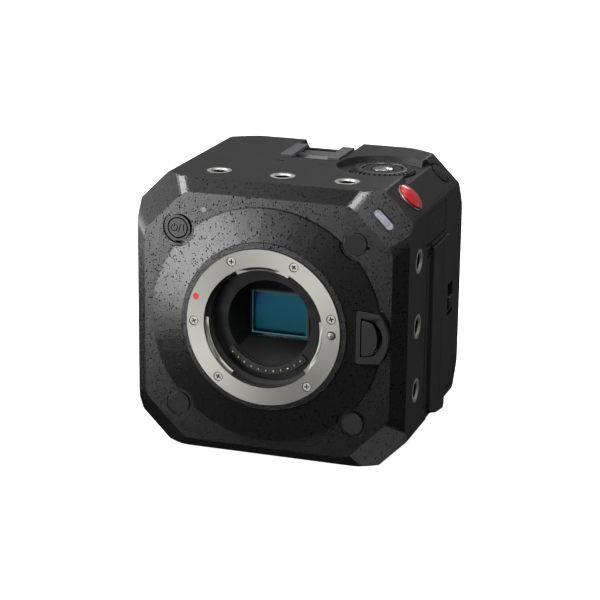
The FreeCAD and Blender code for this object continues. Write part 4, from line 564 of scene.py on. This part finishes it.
# %% Grid helper
def grid_mesh(name, points, close_rows=True, close_columns=True):
    """A mesh from points[row, column, 3] in millimetres; closing joins the last line to the first."""
    rows, columns = points.shape[:2]
    row = np.arange(rows if close_rows else rows - 1)
    column = np.arange(columns if close_columns else columns - 1)
    r, c = np.meshgrid(row, column, indexing="ij")
    r2, c2 = (r + 1) % rows, (c + 1) % columns
    quads = np.stack([r * columns + c, r2 * columns + c, r2 * columns + c2, r * columns + c2], -1)
    mesh = bpy.data.meshes.new(name)
    mesh.from_pydata((points.reshape(-1, 3) * MM).tolist(), [], quads.reshape(-1, 4).tolist())
    mesh.update()
    return mesh


def facing_outwards(mesh):
    """Merges doubles and turns all faces outwards."""
    work = bmesh.new()
    work.from_mesh(mesh)
    bmesh.ops.remove_doubles(work, verts=work.verts, dist=0.001 * MM)
    bmesh.ops.recalc_face_normals(work, faces=work.faces)
    work.to_mesh(mesh)
    work.free()
    return mesh


def joined(name, meshes):
    """One mesh from several."""
    work = bmesh.new()
    for mesh in meshes:
        work.from_mesh(mesh)
        bpy.data.meshes.remove(mesh)
    whole = bpy.data.meshes.new(name)
    work.to_mesh(whole)
    work.free()
    return whole


# %% [markdown]
# ## Threads in the sockets
# Each socket is a plated insert with a 1/4 inch thread, 20 turns to the inch: a pitch of 1.27 mm.
# The bore is a grid whose radius depends on both the height and the angle: it rises and falls once a
# pitch, and the crest moves up by one pitch in each turn. The wall is steel painted much darker than
# the face, as painted shade inside the bore, so its crests show as thin grey lines in the dark.

# %% Threaded inserts
# Painted shade: the threaded wall is dark steel that stands for the shade inside the bore.
shaded_thread = plain_metal("steel_thread_painted_shade", "#3c3b38", 0.42)
PITCH_MM = 1.27
BORE_MM, INSERT_MM, MOUTH_MM, LENGTH_MM = 2.55, 4.1, 0.5, 6.5
CREST_MM, RUN_OUT_MM = 0.42, 0.5
AROUND, UP = 48, 44


def threaded_insert(countersunk):
    """Local points of an insert, mouth at z 0: up the thread, out along the face, and down the wall.
    On the thread the radius is the bore's plus a triangle wave of height and angle, cut flat at its
    crest and root, which runs out at both ends."""
    angle = np.linspace(0.0, 2.0 * math.pi, AROUND, endpoint=False)
    mouth = MOUTH_MM if countersunk else 0.0
    height = np.linspace(-LENGTH_MM, -mouth, UP)
    wave = np.abs(((height[:, None] / PITCH_MM - angle[None, :] / (2.0 * math.pi)) % 1.0) * 2.0 - 1.0)
    ends = (np.clip((-mouth - height) / RUN_OUT_MM, 0.0, 1.0)
            * np.clip((height + LENGTH_MM) / RUN_OUT_MM, 0.0, 1.0))
    bore = BORE_MM + CREST_MM * np.clip(1.25 * wave - 0.12, 0.0, 1.0) * ends[:, None]
    ring = np.ones((1, AROUND))
    radii = [bore, ring * (BORE_MM + mouth), ring * INSERT_MM, ring * INSERT_MM]
    heights = [height[:, None] * ring, ring * 0.0, ring * 0.0, ring * -LENGTH_MM]
    if not countersunk:
        radii.pop(1)
        heights.pop(1)
    r, z = np.concatenate(radii), np.concatenate(heights)
    return np.stack([r * np.cos(angle), r * np.sin(angle), z], -1)


def sockets():
    """Each socket's mouth, the turn of its axis, and whether it is countersunk, as all but the two
    underneath are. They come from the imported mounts."""
    places = []
    for mount in frame["record"]["mounts"]:
        if mount["kind"] == "threaded_hole":
            out = Vector(mount["axis"])
            turned_to = np.array(out.to_track_quat("Z", "Y").to_matrix())
            places.append((np.array(Vector(mount["pos_m"]) / MM), turned_to, out.z > -0.5))
    return places


def thread_faces(points):
    """1 for the faces of the threaded wall, 0 for the plain ring round the mouth: the wall is every
    row of faces but the last four."""
    rows, columns = points.shape[:2]
    return (np.arange(rows * columns) // columns < rows - 4).astype(np.int32)


insert_meshes = []
for place, turned_to, countersunk in sockets():
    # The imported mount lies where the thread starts, so a countersunk mouth stands that much higher.
    local = threaded_insert(countersunk)
    local[..., 2] += MOUTH_MM if countersunk else 0.0
    mesh = grid_mesh("insert", local @ turned_to.T + place)
    mesh.materials.append(finish["insert_steel"])
    mesh.materials.append(shaded_thread)
    mesh.polygons.foreach_set("material_index", thread_faces(local))
    insert_meshes.append(mesh)
inserts = facing_outwards(joined("threaded_inserts", insert_meshes))
inserts.materials.append(finish["insert_steel"])
inserts.materials.append(shaded_thread)
finished("threaded_inserts", inserts, "camera_body", 0.05, 40.0, ("socket_inserts",))
print("threaded inserts: %d faces" % len(inserts.polygons))

# %% [markdown]
# ## The screws of the lens mount
# Six small cross-head screws hold the mount. Each sits a little below the face in a hole somewhat
# wider than its head, so it has a dark line round it. The cross recess is a dark star of painted
# shade, a thin black strip that stands in for the shade inside the recess, with the light metal
# between its arms. The head is a profile carried round the screw's axis. The places are read from
# the imported screws: seen from the lens axis each one spans a few degrees, and the gaps between
# those spans part one screw from the next.

# %% Cross-head screws
def turned_piece(profile, steps=32):
    """Points of a closed profile of (radius, height) rows carried round the local Z axis."""
    angle = np.linspace(0.0, 2.0 * math.pi, steps, endpoint=False)
    r, z = np.array(profile).T[:, :, None]
    return np.stack([r * np.cos(angle), r * np.sin(angle), z + 0.0 * angle], -1)


def ribbon(path, width, low, high):
    """A flat strip of the given width along points (u, v), between two heights."""
    along = np.gradient(path, axis=0)
    along /= np.linalg.norm(along, axis=1)[:, None]
    side = np.stack([-along[:, 1], along[:, 0]], -1) * width / 2.0
    corners = [(path + side, low), (path - side, low), (path - side, high), (path + side, high)]
    rows = [np.concatenate([p, np.full((len(p), 1), z)], 1) for p, z in corners]
    tube = np.stack(rows, 1)
    start = np.repeat(tube[:1].mean(1, keepdims=True), 4, 1)
    end = np.repeat(tube[-1:].mean(1, keepdims=True), 4, 1)
    return np.concatenate([start, tube, end])


def onto(points, centre, out):
    """Local points, height along Z, placed at centre with Z turned to the way out."""
    basis = np.array(Vector(out).to_track_quat("Z", "Y").to_matrix())
    return points @ basis.T + np.array(centre)


def cross(length, width, turn_deg, low, high):
    """The two ribbons of a cross-shaped recess."""
    line = np.linspace(-length / 2.0, length / 2.0, 6)
    arms = []
    for quarter in (0.0, 90.0):
        way = math.radians(turn_deg + quarter)
        path = np.stack([line * math.cos(way), line * math.sin(way)], -1)
        arms.append(ribbon(path, width, low, high))
    return arms


def places_round(node, start_deg, gap_deg=8.0):
    """Centres (x, z) of pieces set on a circle round the lens axis: points sorted by angle and parted
    where the angle jumps."""
    points = np.empty(len(frame["nodes"][node].data.vertices) * 3)
    frame["nodes"][node].data.vertices.foreach_get("co", points)
    points = points.reshape(-1, 3) / MM
    front = points[points[:, 1] < points[:, 1].min() + 0.2][:, [0, 2]]
    angle = (np.degrees(np.arctan2(front[:, 1] - lens_z, front[:, 0] - lens_x)) - start_deg) % 360.0
    order = np.argsort(angle)
    groups = np.split(order, np.where(np.diff(angle[order]) > gap_deg)[0] + 1)
    return [(front[group].min(0) + front[group].max(0)) / 2.0 for group in groups]


ARM_LENGTH_MM, ARM_WIDTH_MM, ARM_DEPTH_MM, ARM_LIFT_MM = 1.75, 0.42, 0.2, 0.02
OUT_OF_FRONT = (0, -1, 0)

screw_low, screw_high = box_mm("mount_screws")
shank_mm = screw_high[1] - screw_low[1]
screw_profile = [(0.0, 0.0), (1.3, 0.0), (1.38, -0.08), (1.4, -0.3), (1.4, -0.85),
                 (0.88, -0.85), (0.88, -shank_mm), (0.0, -shank_mm)]
# Painted shade: the crosses are black strips for the shade in the cross recesses.
cross_recess_shade = enamel("painted_cross_recess_shade", "#060606", 0.7)
heads, crosses = [], []
for number, (x, z) in enumerate(places_round("mount_screws", 340.0)):
    centre = (x, screw_low[1], z)
    heads.append(grid_mesh("head", onto(turned_piece(screw_profile), centre, OUT_OF_FRONT),
                           close_rows=False))
    turned_by = 20.0 + 33.0 * number  # each screw stopped at its own angle when it was driven home
    for arm in cross(ARM_LENGTH_MM, ARM_WIDTH_MM, turned_by, -ARM_DEPTH_MM, ARM_LIFT_MM):
        crosses.append(grid_mesh("arm", onto(arm, centre, OUT_OF_FRONT), close_rows=False))
head_mesh = facing_outwards(joined("mount_screw_heads", heads))
head_mesh.materials.append(finish["screw_steel"])
finished("mount_screw_heads", head_mesh, "camera_body", replaced=("mount_screws",))
cross_mesh = facing_outwards(joined("mount_screw_crosses", crosses))
cross_mesh.materials.append(cross_recess_shade)
finished("mount_screw_crosses", cross_mesh, "camera_body")
print("mount screws:", len(heads))

# %% [markdown]
# ## Contact pins
# The lens meets small sprung pins with rounded, worn tips. Each is a profile again: a short barrel
# that ends in a dome, smaller than its hole, so every bright tip has a dark rim.

# %% Contact pins
PIN_RADIUS_MM = 0.27

pin_low, pin_high = box_mm("lens_contact_pins")
pin_length = pin_high[1] - pin_low[1]
dome = [(PIN_RADIUS_MM * math.sin(t), PIN_RADIUS_MM * (math.cos(t) - 1.0))
        for t in np.linspace(0.0, math.pi / 2.0, 7)]
pin_profile = dome + [(PIN_RADIUS_MM, -pin_length), (0.0, -pin_length)]
pins = [grid_mesh("pin", onto(turned_piece(pin_profile, 16), (x, pin_low[1], z), OUT_OF_FRONT),
                  close_rows=False)
        for x, z in places_round("lens_contact_pins", 180.0, 3.0)]
print("contact pins:", len(pins))
pin_mesh = facing_outwards(joined("contact_pin_tips", pins))
pin_mesh.materials.append(finish["contact_gold"])
finished("contact_pin_tips", pin_mesh, frame["nodes"]["lens_contact_pins"]["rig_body"],
         replaced=("lens_contact_pins",))

# %% [markdown]
# ## The release spring
# Behind the front a coil spring pushes the lens release forward. A coil is a circle carried along a
# helix. The circle lies across the helix, in the plane of the way out and of the way along the axis.
# The coil is drawn as long as it is with the release pressed, because a mesh does not squeeze here.

# %% Coil spring
def coil(radius, wire, low, high, turns):
    """Helix points: the angle turns round the Y axis while y rises evenly from low to high, and a
    circle of radius wire is carried along, drawn to a point at both ends."""
    t = np.linspace(0.0, 1.0, int(turns * 28))
    turn_angle = 2.0 * math.pi * turns * t
    middle = np.stack([radius * np.cos(turn_angle), low + (high - low) * t,
                       radius * np.sin(turn_angle)], -1)
    out = np.stack([np.cos(turn_angle), 0.0 * t, np.sin(turn_angle)], -1)
    along = np.gradient(middle, axis=0)
    along /= np.linalg.norm(along, axis=1)[:, None]
    across = np.cross(along, out)
    around = np.linspace(0.0, 2.0 * math.pi, 10, endpoint=False)
    tube = (middle[:, None] + wire * (np.cos(around)[None, :, None] * out[:, None]
                                      + np.sin(around)[None, :, None] * across[:, None]))
    caps = np.stack([np.repeat(middle[:1], 10, 0), np.repeat(middle[-1:], 10, 0)])
    return np.concatenate([caps[:1], tube, caps[1:]])


RELEASE_TRAVEL_MM, COIL_GAP_MM, WIRE_RADIUS_MM = 1.2, 0.1, 0.25

spring_low, spring_high = box_mm("release_spring")
spring_middle = (spring_low + spring_high) / 2.0
coil_radius = (spring_high[0] - spring_low[0]) / 2.0 - 0.3
coil_front = spring_low[1] + RELEASE_TRAVEL_MM + COIL_GAP_MM + WIRE_RADIUS_MM
points = coil(coil_radius, WIRE_RADIUS_MM, coil_front, spring_high[1] - WIRE_RADIUS_MM, 4.5)
points += spring_middle * (1.0, 0.0, 1.0)
spring = facing_outwards(grid_mesh("release_coil", points, close_rows=False))
spring.materials.append(finish["spring_steel"])
finished("release_coil", spring, frame["nodes"]["release_spring"]["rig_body"],
         replaced=("release_spring",))
print("coil: y %.2f to %.2f mm" % (coil_front, spring_high[1]))

# %% [markdown]
# ## The sign on the power button
# A button that switches a device on and off carries the standard sign: a ring open at the top with
# a bar through the gap, then a stroke and another bar for on. It is printed in dark ink that
# swallows light, and a flat ribbon that lies just on the button reads as ink. A thin ring round it,
# in the same dark ink, is painted shade: it stands for the shade in the groove round the button's
# face.

# %% Power sign
SIGN_SCALE, STROKE_MM, GROOVE_SHADE_RING_MM = 1.75, 0.3, 3.36
INK_BELOW_MM, INK_ABOVE_MM = 0.05, 0.03

button_low, button_high = box_mm("power_button")
button_x, button_z = (button_low + button_high)[[0, 2]] / 2.0
sweep = np.radians(np.linspace(125.0, 415.0, 40))
open_ring = np.stack([0.62 * np.cos(sweep) - 0.85, 0.62 * np.sin(sweep)], -1)
bar_in_gap = np.stack([np.full(6, -0.85), np.linspace(0.15, 0.85, 6)], -1)
slanted_stroke = np.stack([np.linspace(-0.05, 0.45, 6), np.linspace(-0.75, 0.8, 6)], -1)
bar_for_on = np.stack([np.full(6, 1.0), np.linspace(-0.7, 0.75, 6)], -1)
strokes = [stroke * SIGN_SCALE + (0.3, 0.0)
           for stroke in (open_ring, bar_in_gap, slanted_stroke, bar_for_on)]
# Painted shade: a closed ring of the dark ink for the shade in the button's groove.
whole_turn = np.radians(np.linspace(0.0, 360.0, 49))
strokes.append(GROOVE_SHADE_RING_MM * np.stack([np.cos(whole_turn), np.sin(whole_turn)], -1))
sign_meshes = []
for stroke in strokes:
    local = ribbon(stroke, STROKE_MM, -INK_BELOW_MM, INK_ABOVE_MM)
    placed = np.stack([button_x + local[..., 0], button_low[1] - local[..., 2],
                       button_z + local[..., 1]], -1)
    sign_meshes.append(grid_mesh("sign", placed, close_rows=False))
sign = facing_outwards(joined("power_sign", sign_meshes))
ink = start_material("printed_ink_and_groove_shade", "#030303", 0.7, Specular_IOR_Level=0.0)[0]
sign.materials.append(ink)
finished("power_sign", sign, "power_button_body")
print("strokes of the power sign:", len(strokes))

# %% [markdown]
# ## The bright edge of the filter glass
# The rim of the coated glass plate shows as a thin line of pale blue, brightest below and at the
# left. It is painted light: a frame of glass bars round the sensor's window, a fifth of a millimetre
# wide, that glow by emission as a painted reflection of the glass's edge. Under the window a dark
# step of the glass runs along, and ends in a second bright line, a painted reflection as well.

# %% Glass rim
RIM_MM, RIM_DEPTH_MM, RIM_GAP_MM = 0.22, 0.3, 0.02
GLOW_FROM_MM, GLOW_TO_MM = 0.3, 1.2


def frame_loop(x0, x1, z0, z1, y, width, depth):
    """Four corners carried round a rectangle: outer and inner edge, front and back."""
    loops = []
    for inset, back in ((0.0, 0.0), (width, 0.0), (width, depth), (0.0, depth)):
        a, b, c, d = x0 + inset, x1 - inset, z0 + inset, z1 - inset
        loops.append([(a, y + back, c), (b, y + back, c), (b, y + back, d), (a, y + back, d)])
    return np.array(loops).transpose(1, 0, 2)


def glass_edge():
    """Dark glass with a painted glow of pale blue for the reflection of its edge: the glow is
    nearness to the lower edge plus nearness to the left edge, each falling off from GLOW_FROM_MM to
    GLOW_TO_MM."""
    material, tree, shader = start_material("painted_glass_edge_glow", "#0a4250", 0.3,
                                            Emission_Strength=0.3)
    x, z = (add(tree, "SeparateXYZ", {0: in_mm(tree)}, output=axis) for axis in "XZ")
    low = add(tree, "MapRange", {0: z, 1: glass_low[2] + GLOW_FROM_MM, 2: glass_low[2] + GLOW_TO_MM,
                                 3: 0.6, 4: 0.0})
    left = add(tree, "MapRange", {0: x, 1: glass_low[0] + GLOW_FROM_MM, 2: glass_low[0] + GLOW_TO_MM,
                                  3: 0.4, 4: 0.1})
    glow = add(tree, "Math", {0: low, 1: left}, operation="ADD")
    # Painted reflection: the emitted colour is brightest near the lower and the left edge.
    feed(shader, Emission_Color=add(tree, "ValToRGB", {0: glow}, stops=[
        (0.0, "#04262f"), (0.45, "#1f7f8c"), (1.0, "#7fdbe4")]))
    return material


glass_low, glass_high = box_mm("sensor_window")
rim = facing_outwards(grid_mesh("glass_rim", frame_loop(
    glass_low[0] + RIM_GAP_MM, glass_high[0] - RIM_GAP_MM, glass_low[2] + RIM_GAP_MM,
    glass_high[2] - RIM_GAP_MM, glass_low[1] - RIM_GAP_MM, RIM_MM, RIM_DEPTH_MM)))
rim.materials.append(glass_edge())
finished("glass_rim", rim, "camera_body")

# %% Step under the glass
STEP_MM, STEP_LINE_MM = 1.0, 0.14

# Both are frames whose bars are nearly half their height, so that each closes to a strip.
step_top = glass_low[2] - 0.06
line_top = step_top - STEP_MM + RIM_GAP_MM
step = frame_loop(glass_low[0], glass_high[0], step_top - STEP_MM, step_top, glass_low[1] - 0.04,
                  0.49, 0.03)
line = frame_loop(glass_low[0], glass_high[0], line_top - STEP_LINE_MM, line_top, glass_low[1] - 0.05,
                  0.065, 0.03)
# The second line is a painted reflection of the glass's edge; the step is a plain dark strip.
for points, name, material in (
        (step, "filter_step", enamel("dark_glass_step", "#04202b", 0.25)),
        (line, "filter_step_line", enamel("painted_glass_edge_reflection", "#2b8090", 0.25))):
    mesh = facing_outwards(grid_mesh(name, points))
    mesh.materials.append(material)
    finished(name, mesh, "camera_body")
print("glass rim and step at z %.2f to %.2f mm" % (line_top - STEP_LINE_MM, glass_high[2]))

# %% [markdown]
# ## Floor and light
# The object was photographed on white. Dark paint shows little but what it reflects, so its shape
# comes from where the soft boxes stand: a bright one at the front left that grazes the front and
# fades towards the lower right, and a large dim one round it, whose lower right edge leaves the
# lower flank of the round plate nearly black. Small ones at the left and the upper right light the
# corners, and more stand behind, so that the back can be read as well. Only one dim box stands low
# at the right, so the lower bevels stay nearly dark. The floor is matt white paper, seen only by the
# camera and bright enough to be white in the picture. It is one-sided, so that the underside can be
# seen through it from below.

# %% Floor
FLOOR_HALF_MM, FLOOR_DROP_MM = 4000.0, 0.02


def floor_points(half):
    """A square grid just under the object's feet."""
    u = np.linspace(-half, half, 9)
    x, y = np.meshgrid(u, u)
    return np.stack([x, y, np.full_like(x, -FLOOR_DROP_MM)], -1)


floor_mesh = grid_mesh("floor", floor_points(FLOOR_HALF_MM), close_rows=False, close_columns=False)
white_paper, tree, paper = start_material("matt_white_paper", "#e6e6e6", 0.95,
                                          Specular_IOR_Level=0.0, Emission_Strength=0.95,
                                          Emission_Color=(1.0, 1.0, 1.0, 1.0))
from_above = add(tree, "NewGeometry", output="Backfacing")
clear = add(tree, "BsdfTransparent")
one_sided = add(tree, "MixShader", {0: from_above, 1: clear, 2: paper.outputs[0]})
end = next(node for node in tree.nodes if node.type == "OUTPUT_MATERIAL")
tree.links.new(one_sided, end.inputs["Surface"])
floor_mesh.materials.append(white_paper)
floor = bpy.data.objects.new("floor", floor_mesh)
floor.visible_diffuse = floor.visible_glossy = floor.visible_shadow = False
bpy.context.scene.collection.objects.link(floor)
print("floor at z %.2f mm" % -FLOOR_DROP_MM)

# %% Soft boxes
FRONT_MM = np.array([0.0, -39.0, 46.0])


def soft_box(name, azimuth_deg, elevation_deg, away_mm, width_mm, height_mm, radiance):
    """A rectangular light that faces the middle of the front. Azimuth 0 is straight ahead of the
    front and grows to its right. The power is pi times the radiance times the area."""
    around, above = math.radians(azimuth_deg), math.radians(elevation_deg)
    way = np.array([math.sin(around) * math.cos(above), -math.cos(around) * math.cos(above),
                    math.sin(above)])
    light = bpy.data.lights.new(name, "AREA")
    light.shape = "RECTANGLE"
    light.size, light.size_y = width_mm * MM, height_mm * MM
    light.energy = math.pi * radiance * width_mm * height_mm * MM * MM
    lamp = bpy.data.objects.new(name, light)
    lamp.visible_camera = False
    bpy.context.scene.collection.objects.link(lamp)
    lamp.matrix_world = (Matrix.Translation(Vector(FRONT_MM + way * away_mm) * MM)
                         @ Vector(-way).to_track_quat("-Z", "Y").to_matrix().to_4x4())
    return lamp


boxes = [
    # name, azimuth, elevation (degrees), distance, width, height (mm), radiance
    ("key", -29.0, -8.0, 2500.0, 640.0, 640.0, 9.0),
    ("fill", -38.0, 12.0, 1500.0, 1450.0, 1650.0, 1.1),
    ("left_corner", -78.0, 43.0, 600.0, 300.0, 300.0, 10.5),
    ("right_corner", 31.0, 63.0, 600.0, 260.0, 240.0, 12.5),
    ("right_upper", 48.0, 46.0, 600.0, 120.0, 120.0, 5.0),
    ("left_side", -102.0, 4.0, 900.0, 360.0, 560.0, 3.0),
    ("low_right", 70.0, -72.0, 600.0, 260.0, 160.0, 0.6),
    ("ceiling", -92.0, 56.0, 600.0, 370.0, 370.0, 0.8),
    ("rear", 164.0, -10.0, 1500.0, 900.0, 700.0, 0.05),
    ("rear_top", 180.0, 28.0, 1500.0, 400.0, 220.0, 5.0),
    ("rear_ceiling", 180.0, 60.0, 1500.0, 1300.0, 600.0, 1.0),
    ("rear_right", 122.0, -4.0, 1500.0, 850.0, 900.0, 0.45),
    ("rear_left", -138.0, -4.0, 1500.0, 900.0, 900.0, 0.5),
    ("front_right", 40.0, -8.0, 1500.0, 500.0, 700.0, 0.3),
]
for box in boxes:
    soft_box(*box)
print("soft boxes:", len(boxes))

# %% [markdown]
# ## The room
# What no soft box covers reflects the room: dim above the horizon and darker below. The camera sees
# plain white instead, so the object stands free.

# %% World
DARK_BELOW, DIM_ABOVE, SEEN_WHITE = 0.02, 0.2, 1.05

world = bpy.data.worlds.new("studio")
world.use_nodes = True
tree = world.node_tree
tree.nodes.clear()
direction = add(tree, "TexCoord", output="Generated")
height = add(tree, "SeparateXYZ", {0: direction}, output="Z")
level = add(tree, "MapRange", {0: height, 1: -0.3, 2: 0.25, 3: DARK_BELOW, 4: DIM_ABOVE})
dim = add(tree, "Background", {0: (1.0, 1.0, 1.0, 1.0), 1: level})
white = add(tree, "Background", {0: (1.0, 1.0, 1.0, 1.0), 1: SEEN_WHITE})
seen = add(tree, "LightPath", output="Is Camera Ray")
add(tree, "OutputWorld", {0: add(tree, "MixShader", {0: seen, 1: dim, 2: white})})
bpy.context.scene.world = world
bpy.context.scene.view_settings.view_transform = "Standard"
print("room: %.2f below, %.2f above" % (DARK_BELOW, DIM_ABOVE))
